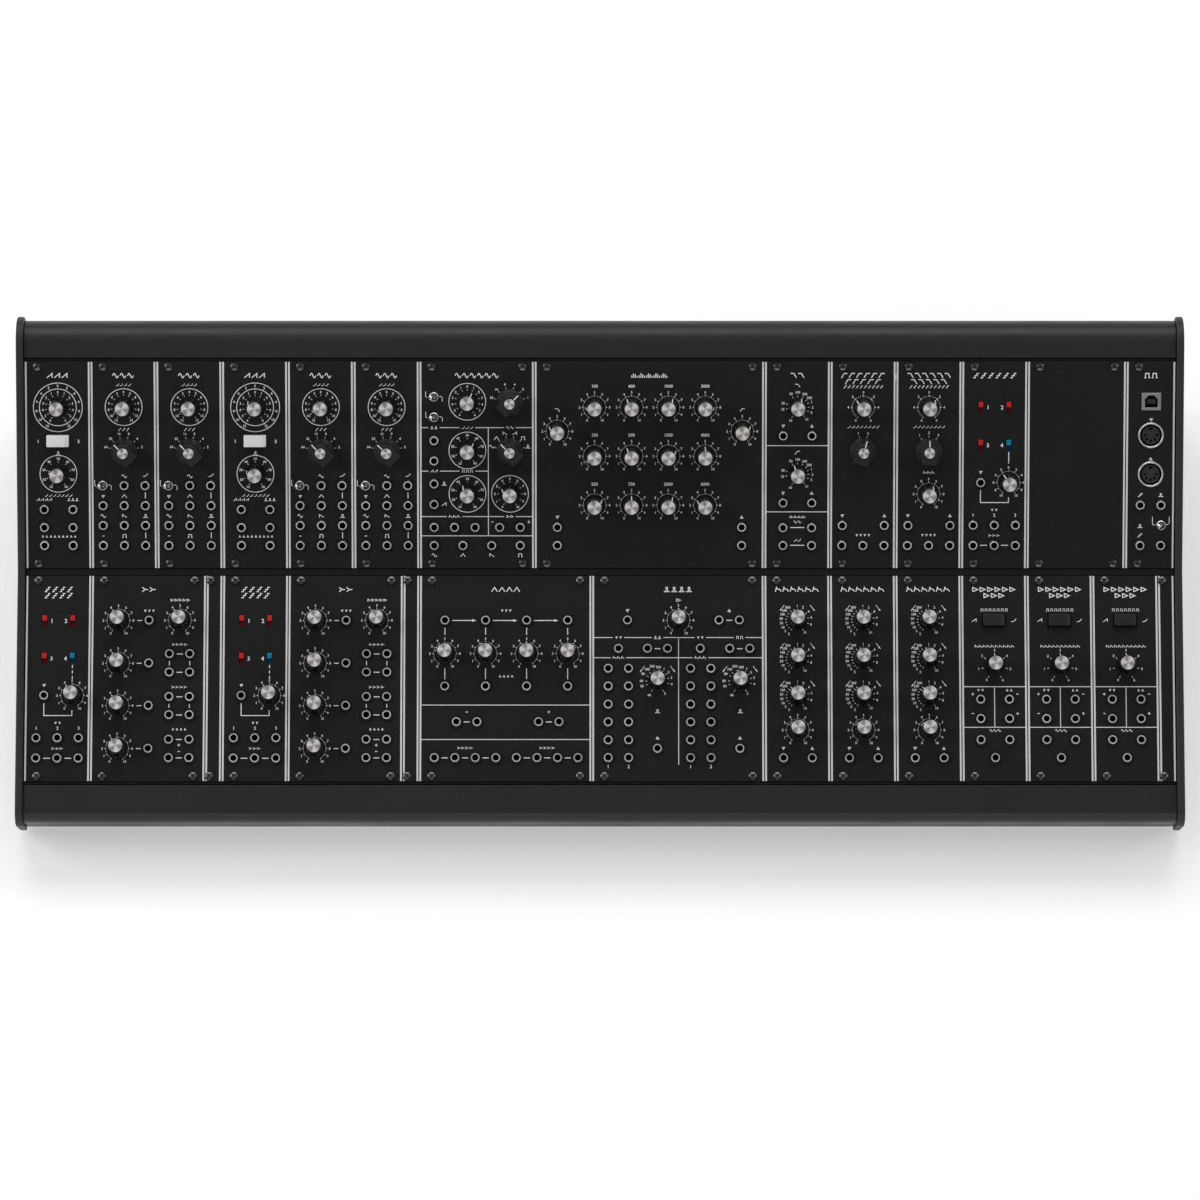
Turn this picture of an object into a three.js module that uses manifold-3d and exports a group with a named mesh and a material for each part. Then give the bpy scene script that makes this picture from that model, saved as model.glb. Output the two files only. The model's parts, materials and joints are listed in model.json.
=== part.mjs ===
// Modular synthesizer: two rows of patchable modules in a wedge-shaped desktop case.
// Millimetres, +Z up, and the panels face the front (-Y) and up. The origin is on the ground,
// under the middle of the case.

import * as THREE from "three";
import { mergeVertices } from "three/addons/utils/BufferGeometryUtils.js";
import Module from "manifold-3d";

const wasm = await Module();
wasm.setup();

// Module grid
const slotWidth = 5.08;
const slotsPerRow = 140;
const panelHeight = 128.5;
const panelThickness = 2;
const panelGap = 0.3;

// Profile of the case, seen from its side
const lowerTilt = THREE.MathUtils.degToRad(14);
const upperTilt = THREE.MathUtils.degToRad(29);
const frontFaceLean = THREE.MathUtils.degToRad(16);
const frontFaceLength = 38;
const frontReach = 24.9;
const frontRadius = 8;
const valleyGap = 4.5;
const crownReach = 34;
const crownRadius = 14;
const footHeight = 5;

// Case pieces
const seatGap = 0.3;
const cheekThickness = 4.6;
const cheekGap = 0.5;
const cheekProud = 2.5;
const coverThickness = 2.5;
const coverDrop = 14;
const coverGap = 0.6;
const sheetThickness = 1.5;
const railLip = 1.4;
const railLipRecess = 0.8;
const railOverlap = 8;
const railDepth = 11;
const footRadius = 9;
const footInset = 34;
const cornerSteps = 8;

// Circuit boards and power
const boardDepth = 12;
const boardThickness = 1.6;
const boardInset = 10.5;
const boardSideInset = 1.5;
const componentDepth = 5;
const componentHeight = 34;
const componentWidth = 16;
const busLength = 560;
const busWidth = 34;
const busStandoffHeight = 6;
const busStandoffWidth = 7;
const busStandoffCount = 5;
const busFrontInset = 92;
const headerLength = 18;
const headerWidth = 8.5;
const headerHeight = 9;
const headerCount = 16;
const supplyLength = 168;
const supplyWidth = 62;
const supplyHeight = 36;
const supplyEar = 11;
const supplyEarThickness = 2;
const supplyRearInset = 24;
const supplySideInset = 150;
const supplyVentDepth = 0.8;
const supplyVentCount = 9;

// Power inlet with its rocker, and the vents in the back
const inletWidth = 50;
const inletHeight = 28;
const inletFlange = 1.8;
const inletBodyWidth = 45;
const inletBodyHeight = 23;
const inletBodyDepth = 21;
const inletSideInset = 108;
const inletRise = 44;
const socketWidth = 23.6;
const socketHeight = 15.8;
const socketDepth = 16;
const socketMargin = 2.2;
const socketPinWidth = 2;
const socketPinHeight = 4;
const socketPinLength = 10.8;
const socketPinPitch = 7;
const socketEarthRise = 3.2;
const powerRockerWidth = 10.6;
const powerRockerHeight = 17;
const ventWidth = 3;
const ventHeight = 26;
const ventPitch = 9;
const ventCount = 9;

// Sockets, knobs and switches
const jackRadius = 1.8;
const jackBodyWidth = 9;
const jackDepth = 9;
const jackSides = 6;
const knobSkirtRadius = 6;
const knobSkirtHeight = 2.2;
const knobWaistRadius = 5.4;
const knobTopRadius = 4.9;
const knobHeight = 15.5;
const knobMarkWidth = 0.9;
const knobMarkRise = 0.5;
const knobClearance = 0.4;
const shaftRadius = 3;
const shaftClearance = 0.35;
const shaftDepth = 6;
const potBodyWidth = 11;
const selectorRadius = 8.3;
const selectorRimHeight = 1.2;
const selectorShoulderRadius = 5.4;
const selectorShoulderHeight = 4.5;
const selectorHeight = 12.5;
const selectorCapRadius = 3.2;
const selectorCapRise = 1;
const toggleBushRadius = 2.85;
const toggleBushHeight = 2.4;
const toggleBoreRadius = 2.1;
const toggleBoreDepth = 1.6;
const toggleLeverRadius = 0.85;
const toggleTipRadius = 1.35;
const toggleLeverLength = 10.4;
const togglePivotDepth = 0.9;
const toggleThrow = THREE.MathUtils.degToRad(12);
const rockerLength = 13.7;
const rockerWidth = 7.4;
const rockerHeight = 3.2;
const rockerLowHeight = 1.5;
const rockerBendShare = 0.82;
const rockerSkirt = 1.5;
const rockerClearance = 0.35;
const rockerWellDepth = 4;
const slideWidth = 2.9;
const slideTravel = 3.5;
const slideButtonLength = 3.4;
const slideButtonRise = 0.9;
const slideDepth = 2.6;
const slideRecess = 1;
const slideClearance = 0.2;
const switchBodyMargin = 1.6;
const usbWidth = 12;
const usbHeight = 10.8;
const usbProud = 0.8;
const usbWall = 1.2;
const usbDepth = 8;
const usbTongueWidth = 5.6;
const usbTongueHeight = 3.1;
const dinRadius = 7.9;
const dinWall = 1;
const dinProud = 1;
const dinRecess = 1.6;
const dinSides = 12;

// How far a cut runs past the face that it opens, and how deep a joined piece is let in
const overrun = 1;
const sink = 0.5;
const weldDistance = 1e-4;

// Half the outline of a selector's grip, from its pointer round to its tail: bearings, and shares of the skirt's radius
const selectorGripDegrees = [9, 15, 60, 105, 132, 147, 180];
const selectorGripShares = [0.97, 0.64, 0.64, 0.64, 0.64, 1.04, 0.92];
const selectorSides = 12;
const knobSides = 8;
const shaftSides = 8;
const leverSides = 6;
const footSides = 12;

// Closed geometries become manifold solids, which join and cut
function solidOf(geometry) {
  const bare = new THREE.BufferGeometry();
  bare.setAttribute("position", geometry.getAttribute("position"));
  bare.setIndex(geometry.index);
  const merged = mergeVertices(bare, weldDistance);
  return new wasm.Manifold(
    new wasm.Mesh({
      numProp: 3,
      vertProperties: merged.getAttribute("position").array,
      triVerts: new Uint32Array(merged.index.array),
    }),
  );
}

function geometryOf(solid) {
  const mesh = solid.getMesh();
  const geometry = new THREE.BufferGeometry();
  geometry.setAttribute("position", new THREE.BufferAttribute(mesh.vertProperties, 3));
  geometry.setIndex(new THREE.BufferAttribute(mesh.triVerts, 1));
  geometry.computeVertexNormals();
  return geometry;
}

// A box between two corners
function box(low, high) {
  const size = high.map((value, i) => value - low[i]);
  const geometry = new THREE.BoxGeometry(...size);
  geometry.translate(...low.map((value, i) => value + size[i] / 2));
  return solidOf(geometry);
}

// A body of revolution about a vertical axis at [x, y], from rings of [radius, height], lowest first
function turned(rings, sides, [x, y] = [0, 0]) {
  const bottom = rings[0][1];
  const top = rings[rings.length - 1][1];
  const profile = [[0, bottom], ...rings, [0, top]].map(([r, z]) => new THREE.Vector2(r, z));
  const geometry = new THREE.LatheGeometry(profile, sides);
  geometry.rotateX(Math.PI / 2);
  geometry.translate(x, y, 0);
  return solidOf(geometry);
}

// An outline of [x, y] points, raised from one height to another
function raised(points, low, high) {
  const shape = new THREE.Shape(points.map(([x, y]) => new THREE.Vector2(x, y)));
  const geometry = new THREE.ExtrudeGeometry(shape, { depth: high - low, bevelEnabled: false });
  geometry.translate(0, 0, low);
  return solidOf(geometry);
}

// An outline of [y, z] points, drawn along X between two places
function drawnAcross(points, left, right) {
  const shape = new THREE.Shape(points.map(([y, z]) => new THREE.Vector2(y, z)));
  const geometry = new THREE.ExtrudeGeometry(shape, { depth: right - left, bevelEnabled: false });
  const turn = new THREE.Matrix4().makeBasis(
    new THREE.Vector3(0, 1, 0),
    new THREE.Vector3(0, 0, 1),
    new THREE.Vector3(1, 0, 0),
  );
  geometry.applyMatrix4(turn);
  geometry.translate(left, 0, 0);
  return solidOf(geometry);
}

// Places on the profile, as [y, z] before the whole is centred

function direction(tilt) {
  return [Math.cos(tilt), Math.sin(tilt)];
}

// From a start, so far along a tilted line and so far out of it
function step([y, z], tilt, along, out = 0) {
  const [cos, sin] = direction(tilt);
  return [y + along * cos - out * sin, z + along * sin + out * cos];
}

// Where two tilted lines meet, each given by a point and its tilt
function meeting(first, firstTilt, second, secondTilt) {
  const [ay, az] = direction(firstTilt);
  const [by, bz] = direction(secondTilt);
  const reach = ((second[0] - first[0]) * bz - (second[1] - first[1]) * by) / (ay * bz - az * by);
  return [first[0] + reach * ay, first[1] + reach * az];
}

const frontTilt = Math.PI / 2 + frontFaceLean;
const rearTilt = Math.PI / 2;
const frontFoot = [0, footHeight];
const frontCorner = step(frontFoot, frontTilt, frontFaceLength);
const lowerStart = step(frontCorner, lowerTilt, frontReach);
const lowerEnd = step(lowerStart, lowerTilt, panelHeight);
const valley = step(lowerEnd, lowerTilt, valleyGap / 2);
const upperStart = step(valley, upperTilt, valleyGap / 2);
const upperEnd = step(upperStart, upperTilt, panelHeight);
const crown = step(upperEnd, upperTilt, crownReach);
const rearFoot = [crown[0], footHeight];

// The arc that rounds a corner between two sides, from the side it comes along to the side it leaves by
function roundedCorner(before, corner, after, radius) {
  const back = new THREE.Vector2(before[0] - corner[0], before[1] - corner[1]).normalize();
  const on = new THREE.Vector2(after[0] - corner[0], after[1] - corner[1]).normalize();
  const half = Math.acos(back.dot(on)) / 2;
  const reach = radius / Math.tan(half);
  const centre = back.clone().add(on).normalize().multiplyScalar(radius / Math.sin(half));
  const from = back.clone().multiplyScalar(reach).sub(centre);
  const to = on.clone().multiplyScalar(reach).sub(centre);
  const turn = Math.atan2(from.cross(to), from.dot(to));
  return Array.from({ length: cornerSteps + 1 }, (_, i) => {
    const place = from.clone().rotateAround(new THREE.Vector2(), (turn * i) / cornerSteps);
    return [corner[0] + centre.x + place.x, corner[1] + centre.y + place.y];
  });
}

// The closed outline of a sheet bent round one corner. Each side is [start, corner, end].
function bentSheet(outer, inner, radius, thickness) {
  const bend = ([start, corner, end], r) => [start, ...roundedCorner(start, corner, end, r), end];
  return [...bend(outer, radius), ...bend(inner, radius - thickness).reverse()];
}

// The outline of a side cheek stands proud of the covers and panels all round but underneath
function outlineOfCheek() {
  const foot = step(frontFoot, frontTilt, 0, cheekProud);
  const lowerFace = step(lowerStart, lowerTilt, 0, cheekProud);
  const upperFace = step(upperStart, upperTilt, 0, cheekProud);
  const rear = [rearFoot[0] + cheekProud, footHeight];
  const bottomFront = meeting(foot, frontTilt, frontFoot, 0);
  const lip = meeting(foot, frontTilt, lowerFace, lowerTilt);
  const dip = meeting(lowerFace, lowerTilt, upperFace, upperTilt);
  const top = meeting(upperFace, upperTilt, rear, rearTilt);
  return [
    bottomFront,
    rear,
    ...roundedCorner(rear, top, dip, crownRadius + cheekProud),
    dip,
    ...roundedCorner(dip, lip, bottomFront, frontRadius + cheekProud),
  ];
}

// Places that the case pieces share
const rowWidth = slotsPerRow * slotWidth;
const innerHalf = rowWidth / 2 + cheekGap - seatGap;
const coverStart = railLip + coverGap + panelGap;
const crownTangent = crownRadius / Math.tan((Math.PI / 2 - upperTilt) / 2);
const coverEnd = crown[1] - crownTangent - coverDrop;
const frontInside = meeting(step(frontFoot, frontTilt, 0, -coverThickness), frontTilt, frontFoot, 0);
const rearInside = crown[0] - sheetThickness;
const baseTop = footHeight + sheetThickness;
const inletX = inletSideInset - rowWidth / 2;
const inletZ = footHeight + inletRise;
const inletFace = crown[0] + seatGap;
const inletMouth = inletFace + inletFlange;
const socketX = inletX - inletBodyWidth / 2 + socketMargin + socketWidth / 2;
const rockerX = inletX + inletBodyWidth / 2 - socketMargin - powerRockerWidth / 2;
const railSeat = -panelThickness - seatGap;

// The object and its materials

const synthesizer = new THREE.Group();
const cheekOutline = outlineOfCheek();
const frontEnd = Math.min(...cheekOutline.map(([y]) => y));
const rearEnd = Math.max(rearFoot[0] + cheekProud, inletMouth + rockerHeight);
synthesizer.position.y = -(frontEnd + rearEnd) / 2;

function finish(colour, roughness, metalness) {
  return new THREE.MeshStandardMaterial({ color: colour, roughness, metalness });
}

const blackPlastic = finish(0x1b1b1c, 0.55, 0);
const blackPaint = finish(0x202021, 0.5, 0.2);
const panelPaint = finish(0x1d1d1e, 0.6, 0.1);
const railPaint = finish(0x171718, 0.45, 0.3);
const zincSteel = finish(0x9a9c9e, 0.45, 1);
const boardGreen = finish(0x1d4a2e, 0.6, 0);
const rubber = finish(0x111111, 0.9, 0);
const knobBlack = finish(0x151515, 0.45, 0);
const whitePlastic = finish(0xe6e5e0, 0.4, 0);
const redPlastic = finish(0xc8191e, 0.35, 0);

function addPart(parent, name, solid, material, place = [0, 0, 0], turn = [0, 0, 0]) {
  const mesh = new THREE.Mesh(geometryOf(solid), material);
  mesh.name = name;
  mesh.position.set(...place);
  mesh.rotation.set(...turn);
  parent.add(mesh);
}

// Case

function addCheeks() {
  const inner = rowWidth / 2 + cheekGap;
  const outer = inner + cheekThickness;
  addPart(synthesizer, "left_cheek", drawnAcross(cheekOutline, -outer, -inner), blackPlastic);
  addPart(synthesizer, "right_cheek", drawnAcross(cheekOutline, inner, outer), blackPlastic);
}

// The sheet from the foot of the lower panels round the front edge and down to the base
function addFrontCover() {
  const start = step(lowerStart, lowerTilt, -coverStart);
  const plane = step(start, lowerTilt, 0, -coverThickness);
  const face = step(frontFoot, frontTilt, 0, -coverThickness);
  const outer = [start, frontCorner, frontFoot];
  const inner = [plane, meeting(face, frontTilt, plane, lowerTilt), frontInside];
  const outline = bentSheet(outer, inner, frontRadius, coverThickness);
  addPart(synthesizer, "front_cover", drawnAcross(outline, -innerHalf, innerHalf), blackPaint);
}

// The sheet from the head of the upper panels over the crown and down the back
function addTopCover() {
  const start = step(upperEnd, upperTilt, coverStart);
  const plane = step(start, upperTilt, 0, -coverThickness);
  const end = [crown[0] - coverThickness, coverEnd];
  const outer = [start, crown, [crown[0], coverEnd]];
  const inner = [plane, meeting(plane, upperTilt, end, rearTilt), end];
  const outline = bentSheet(outer, inner, crownRadius, coverThickness);
  addPart(synthesizer, "top_cover", drawnAcross(outline, -innerHalf, innerHalf), blackPaint);
}

function addBase() {
  const front = frontInside[0] + seatGap;
  const rear = rearInside - seatGap;
  const plate = box([-innerHalf, front, footHeight], [innerHalf, rear, baseTop]);
  addPart(synthesizer, "base_plate", plate, zincSteel);
  const places = [
    ["foot_front_left", -1, front + footInset],
    ["foot_front_right", 1, front + footInset],
    ["foot_rear_left", -1, rear - footInset],
    ["foot_rear_right", 1, rear - footInset],
  ];
  for (const [name, side, y] of places) {
    const foot = turned([[footRadius, 0], [footRadius, footHeight - seatGap]], footSides);
    addPart(synthesizer, name, foot, rubber, [side * (rowWidth / 2 - footInset), y, 0]);
  }
}

// The sheet across the back, with a window for the inlet and vents behind the supply
function addRearPanel() {
  const top = coverEnd - seatGap;
  const inside = rearInside - overrun;
  const outside = crown[0] + overrun;
  const halfWidth = inletBodyWidth / 2 + seatGap;
  const halfHeight = inletBodyHeight / 2 + seatGap;
  let panel = box([-innerHalf, rearInside, footHeight], [innerHalf, crown[0], top]);
  panel = panel.subtract(
    box(
      [inletX - halfWidth, inside, inletZ - halfHeight],
      [inletX + halfWidth, outside, inletZ + halfHeight],
    ),
  );
  const ventBottom = footHeight + (top - footHeight - ventHeight) / 2;
  for (let i = 0; i < ventCount; i++) {
    const centre = rowWidth / 2 - supplySideInset + (i - (ventCount - 1) / 2) * ventPitch;
    panel = panel.subtract(
      box(
        [centre - ventWidth / 2, inside, ventBottom],
        [centre + ventWidth / 2, outside, ventBottom + ventHeight],
      ),
    );
  }
  addPart(synthesizer, "rear_panel", panel, blackPaint);
}

// Each rail seats the ends of the panels, and its lip stands up beside them
function addRails() {
  const lower = (along, out) => step(lowerStart, lowerTilt, along, out);
  const upper = (along, out) => step(upperStart, upperTilt, along, out);
  const valleyAt = (out) => meeting(lower(0, out), lowerTilt, upper(0, out), upperTilt);
  const lip = panelGap + railLip;
  const outlines = {
    lower_rail: [
      lower(-lip, -railDepth),
      lower(railOverlap, -railDepth),
      lower(railOverlap, railSeat),
      lower(-panelGap, railSeat),
      lower(-panelGap, -railLipRecess),
      lower(-lip, -railLipRecess),
    ],
    middle_rail: [
      lower(panelHeight - railOverlap, -railDepth),
      valleyAt(-railDepth),
      upper(railOverlap, -railDepth),
      upper(railOverlap, railSeat),
      upper(-panelGap, railSeat),
      upper(-panelGap, -railLipRecess),
      valleyAt(-railLipRecess),
      lower(panelHeight + panelGap, -railLipRecess),
      lower(panelHeight + panelGap, railSeat),
      lower(panelHeight - railOverlap, railSeat),
    ],
    upper_rail: [
      upper(panelHeight - railOverlap, -railDepth),
      upper(panelHeight + lip, -railDepth),
      upper(panelHeight + lip, -railLipRecess),
      upper(panelHeight + panelGap, -railLipRecess),
      upper(panelHeight + panelGap, railSeat),
      upper(panelHeight - railOverlap, railSeat),
    ],
  };
  for (const [name, outline] of Object.entries(outlines)) {
    addPart(synthesizer, name, drawnAcross(outline, -innerHalf, innerHalf), railPaint);
  }
}

// Power

// A long board on standoffs, with a row of keyed headers for the modules' leads
function addBusBoard() {
  const under = baseTop + seatGap;
  const top = under + busStandoffHeight;
  const front = frontInside[0] + busFrontInset;
  const middle = front + busWidth / 2;
  const half = busStandoffWidth / 2;
  let board = box([-busLength / 2, front, top], [busLength / 2, front + busWidth, top + boardThickness]);
  for (let i = 0; i < busStandoffCount; i++) {
    const x = (i / (busStandoffCount - 1) - 1 / 2) * (busLength - busStandoffWidth);
    board = board.add(box([x - half, middle - half, under], [x + half, middle + half, top + sink]));
  }
  const seatTop = top + boardThickness;
  for (let i = 0; i < headerCount; i++) {
    const x = (i + (1 - headerCount) / 2) * (busLength / headerCount);
    board = board.add(
      box(
        [x - headerLength / 2, middle - headerWidth / 2, seatTop - sink],
        [x + headerLength / 2, middle + headerWidth / 2, seatTop + headerHeight],
      ),
    );
  }
  addPart(synthesizer, "bus_board", board, boardGreen);
}

// A steel box for the supply, with an ear at each end and cooling grooves across its lid
function addSupply() {
  const bottom = baseTop + seatGap;
  const top = bottom + supplyHeight;
  const x = rowWidth / 2 - supplySideInset;
  const rear = rearInside - supplyRearInset;
  const front = rear - supplyWidth;
  const half = supplyLength / 2;
  let supply = box([x - half, front, bottom], [x + half, rear, top]);
  supply = supply.add(
    box(
      [x - half - supplyEar, front + supplyEar, bottom],
      [x + half + supplyEar, rear - supplyEar, bottom + supplyEarThickness],
    ),
  );
  const pitch = (supplyLength - 2 * supplyEar) / supplyVentCount;
  for (let i = 0; i < supplyVentCount; i++) {
    const centre = x + (i - (supplyVentCount - 1) / 2) * pitch;
    supply = supply.subtract(
      box(
        [centre - ventWidth / 2, front + supplyEar, top - supplyVentDepth],
        [centre + ventWidth / 2, rear - supplyEar, top + overrun],
      ),
    );
  }
  addPart(synthesizer, "power_supply", supply, zincSteel);
}

// A flanged body with a three-pin socket on one side and the rocker's window on the other
function addInlet() {
  const floor = inletMouth - socketDepth;
  const windowHalfWidth = powerRockerWidth / 2 + rockerClearance;
  const windowHalfHeight = powerRockerHeight / 2 + rockerClearance;
  let inlet = box(
    [inletX - inletWidth / 2, inletFace, inletZ - inletHeight / 2],
    [inletX + inletWidth / 2, inletMouth, inletZ + inletHeight / 2],
  );
  inlet = inlet.add(
    box(
      [inletX - inletBodyWidth / 2, inletFace - inletBodyDepth, inletZ - inletBodyHeight / 2],
      [inletX + inletBodyWidth / 2, inletFace + sink, inletZ + inletBodyHeight / 2],
    ),
  );
  inlet = inlet.subtract(
    box(
      [socketX - socketWidth / 2, floor, inletZ - socketHeight / 2],
      [socketX + socketWidth / 2, inletMouth + overrun, inletZ + socketHeight / 2],
    ),
  );
  inlet = inlet.subtract(
    box(
      [rockerX - windowHalfWidth, floor, inletZ - windowHalfHeight],
      [rockerX + windowHalfWidth, inletMouth + overrun, inletZ + windowHalfHeight],
    ),
  );
  const pins = [
    [socketX - socketPinPitch, inletZ - socketEarthRise / 2],
    [socketX, inletZ + socketEarthRise],
    [socketX + socketPinPitch, inletZ - socketEarthRise / 2],
  ];
  for (const [x, z] of pins) {
    inlet = inlet.add(
      box(
        [x - socketPinWidth / 2, floor - sink, z - socketPinHeight / 2],
        [x + socketPinWidth / 2, floor + socketPinLength, z + socketPinHeight / 2],
      ),
    );
  }
  addPart(synthesizer, "power_inlet", inlet, knobBlack);
  const cap = rockerCap(powerRockerHeight, powerRockerWidth);
  const frame = new THREE.Group();
  frame.position.set(rockerX, inletMouth, inletZ);
  const [alongX, alongY, alongZ] = [0, 1, 2].map((i) => new THREE.Vector3().setComponent(i, 1));
  frame.setRotationFromMatrix(new THREE.Matrix4().makeBasis(alongZ, alongX, alongY));
  synthesizer.add(frame);
  addPart(frame, "power_rocker", cap, knobBlack);
}

// Moving controls, each in its own frame: the origin on the panel's face, Z out of the panel

// The pivoting cap of a rocker switch: it rocks along X, and it is as wide as given along Y
function rockerCap(length, width) {
  const half = length / 2;
  const outline = [
    [-half, -rockerSkirt],
    [half, -rockerSkirt],
    [half, rockerLowHeight],
    [(rockerBendShare - 1 / 2) * length, rockerHeight],
    [-half, rockerHeight],
  ];
  const shape = new THREE.Shape(outline.map(([x, z]) => new THREE.Vector2(x, z)));
  const geometry = new THREE.ExtrudeGeometry(shape, { depth: width, bevelEnabled: false });
  geometry.translate(0, 0, -width / 2);
  geometry.rotateX(Math.PI / 2);
  return solidOf(geometry);
}

function knobSolid() {
  const rings = [[knobSkirtRadius, 0], [knobWaistRadius, knobSkirtHeight], [knobTopRadius, knobHeight]];
  return turned(rings, knobSides);
}

// A rib down the knob's side that shows where it points
function knobMark() {
  return box(
    [-knobMarkWidth / 2, knobTopRadius - knobMarkWidth, knobSkirtHeight],
    [knobMarkWidth / 2, knobWaistRadius + knobMarkRise, knobHeight - knobMarkRise],
  );
}

function shaftSolid() {
  return turned([[shaftRadius, -shaftDepth], [shaftRadius, sink]], shaftSides);
}

// A round skirt under a grip with a narrow pointer and a broad tail
function selectorSolid() {
  const half = selectorGripShares.map((share, i) => {
    const angle = THREE.MathUtils.degToRad(selectorGripDegrees[i]);
    return [-share * selectorRadius * Math.sin(angle), share * selectorRadius * Math.cos(angle)];
  });
  const others = half.slice(0, -1).reverse().map(([x, y]) => [-x, y]);
  const skirt = [
    [selectorRadius, 0],
    [selectorRadius, selectorRimHeight],
    [selectorShoulderRadius, selectorShoulderHeight],
  ];
  const cap = [[selectorCapRadius, selectorHeight - sink], [selectorCapRadius, selectorHeight + selectorCapRise]];
  const grip = raised([...half, ...others], 0, selectorHeight);
  return turned(skirt, selectorSides).add(grip).add(turned(cap, knobSides));
}

// The lever stands on its pivot
function leverSolid() {
  return turned([[toggleLeverRadius, 0], [toggleTipRadius, toggleLeverLength]], leverSides);
}

function slideSolid() {
  return box(
    [-slideWidth / 2, -slideButtonLength / 2, -slideDepth],
    [slideWidth / 2, slideButtonLength / 2, slideButtonRise],
  );
}

// Kinds of module. A place is [share of the module's width from its left, share of its height from its head],
// a field of sockets is [its columns, its rows], and a pointer is in degrees clockwise from straight up.

const pairShares = [0.287, 0.723];
const tripleShares = [0.183, 0.505, 0.827];
const middleShare = 0.505;
const lastRowShare = 0.888;

const driver = {
  slots: 8,
  knobShares: [[middleShare, 0.221], [middleShare, 0.542]],
  knobPointers: [-50, -72],
  rockerShares: [[middleShare, 0.383]],
  jackShares: [[pairShares, [0.714, 0.801, lastRowShare]]],
};

const oscillator = {
  slots: 8,
  knobShares: [[middleShare, 0.22]],
  knobPointers: [-110],
  selectorShares: [[middleShare, 0.436]],
  selectorPointers: [-45],
  toggleShares: [[0.18, 0.598]],
  jackShares: [[[middleShare, 0.823], [0.598]], [tripleShares, [0.695, 0.791, lastRowShare]]],
};

const voltageOscillator = {
  slots: 14,
  knobShares: [[0.418, 0.194], [0.418, 0.429], [0.418, 0.639], [0.788, 0.639]],
  knobPointers: [28, 40, -30, -60],
  selectorShares: [[0.787, 0.198], [0.787, 0.434]],
  selectorPointers: [45, -45],
  toggleShares: [[0.128, 0.17], [0.128, 0.268]],
  jackShares: [
    [[0.128], [0.381, 0.479, 0.59, 0.689]],
    [[0.128, 0.305, 0.484, 0.698, 0.877], [0.8]],
    [[0.128, 0.378, 0.628, 0.877], [lastRowShare]],
  ],
};

const bankColumnShares = [0.262, 0.423, 0.583, 0.743];
const bankRowShares = [0.221, 0.457, 0.694];

const filterBank = {
  slots: 28,
  knobShares: [
    ...bankRowShares.flatMap((row) => bankColumnShares.map((column) => [column, row])),
    [0.1, 0.337],
    [0.904, 0.337],
  ],
  knobPointers: [-93, -30, 28, 92, -120, -30, 55, 0, 55, 0, 28, -60, -60, 60],
  jackShares: [[[0.1], [0.8, lastRowShare]], [[0.902], [0.8, lastRowShare]]],
};

const filters = {
  slots: 8,
  knobShares: [[middleShare, 0.221], [middleShare, 0.545]],
  knobPointers: [25, -20],
  jackShares: [[pairShares, [0.358]], [pairShares, [0.682, 0.802, lastRowShare]]],
};

const highPassFilter = {
  slots: 8,
  knobShares: [[middleShare, 0.221]],
  knobPointers: [-45],
  selectorShares: [[middleShare, 0.434]],
  selectorPointers: [15],
  jackShares: [[[0.19], [0.791]], [[0.83], [0.791]], [tripleShares, [lastRowShare]]],
};

const lowPassFilter = {
  ...highPassFilter,
  knobShares: [[middleShare, 0.221], [middleShare, 0.64]],
  knobPointers: [42, 30],
  selectorPointers: [0],
};

const controlVoltages = {
  slots: 8,
  knobShares: [[0.721, 0.584]],
  knobPointers: [-33],
  slideShares: [[0.294, 0.221], [0.72, 0.221], [0.294, 0.404], [0.72, 0.404]],
  jackShares: [[[0.294], [0.584]], [tripleShares, [0.79, lastRowShare]]],
};

const blankPanel = { slots: 12 };

const busInterface = {
  slots: 6,
  toggleShares: [[0.729, 0.79]],
  dataSocketShares: [[0.513, 0.193]],
  roundSocketShares: [[0.51, 0.356], [0.51, 0.544]],
  jackShares: [[[0.303, 0.722], [0.693]], [[0.303, 0.722], [lastRowShare]]],
};

const mixerRowShares = [0.219, 0.427, 0.633, 0.841];

const mixer = {
  slots: 14,
  knobShares: [...mixerRowShares.map((row) => [0.237, row]), [0.772, 0.218]],
  knobPointers: [-30, -30, -30, -30, -30],
  jackShares: [
    ...mixerRowShares.map((row) => [[middleShare], [row]]),
    [[0.684, 0.861], [0.382, 0.471, 0.59, 0.678, 0.797, 0.886]],
  ],
};

const filler = { slots: 2 };

const attenuatorColumnShares = [0.148, 0.384, 0.622, 0.86];

const attenuators = {
  slots: 21,
  knobShares: attenuatorColumnShares.map((column) => [column, 0.38]),
  knobPointers: [-75, -30, 0, 55],
  jackShares: [
    [attenuatorColumnShares, [0.219]],
    [attenuatorColumnShares, [0.539]],
    [[0.216, 0.335], [0.712]],
    [[0.692, 0.81], [0.712]],
    [[0.089, 0.208, 0.326, 0.445, 0.564, 0.683, 0.802, 0.92], [0.886]],
  ],
};

const triggerInterface = {
  slots: 21,
  knobShares: [[0.503, 0.218], [0.381, 0.515], [0.86, 0.515]],
  knobPointers: [0, 15, -20],
  jackShares: [
    [[0.207], [0.218]],
    [[0.738, 0.856], [0.218]],
    [[0.155], [0.356]],
    [[0.323, 0.439], [0.356]],
    [[0.629], [0.356]],
    [[0.8, 0.916], [0.356]],
    [[0.095, 0.213], [0.453, 0.539, 0.627, 0.713, 0.8, 0.886]],
    [[0.572, 0.69], [0.453, 0.539, 0.627, 0.713, 0.8, 0.886]],
    [[0.38], [0.841]],
    [[0.857], [0.841]],
  ],
};

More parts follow.
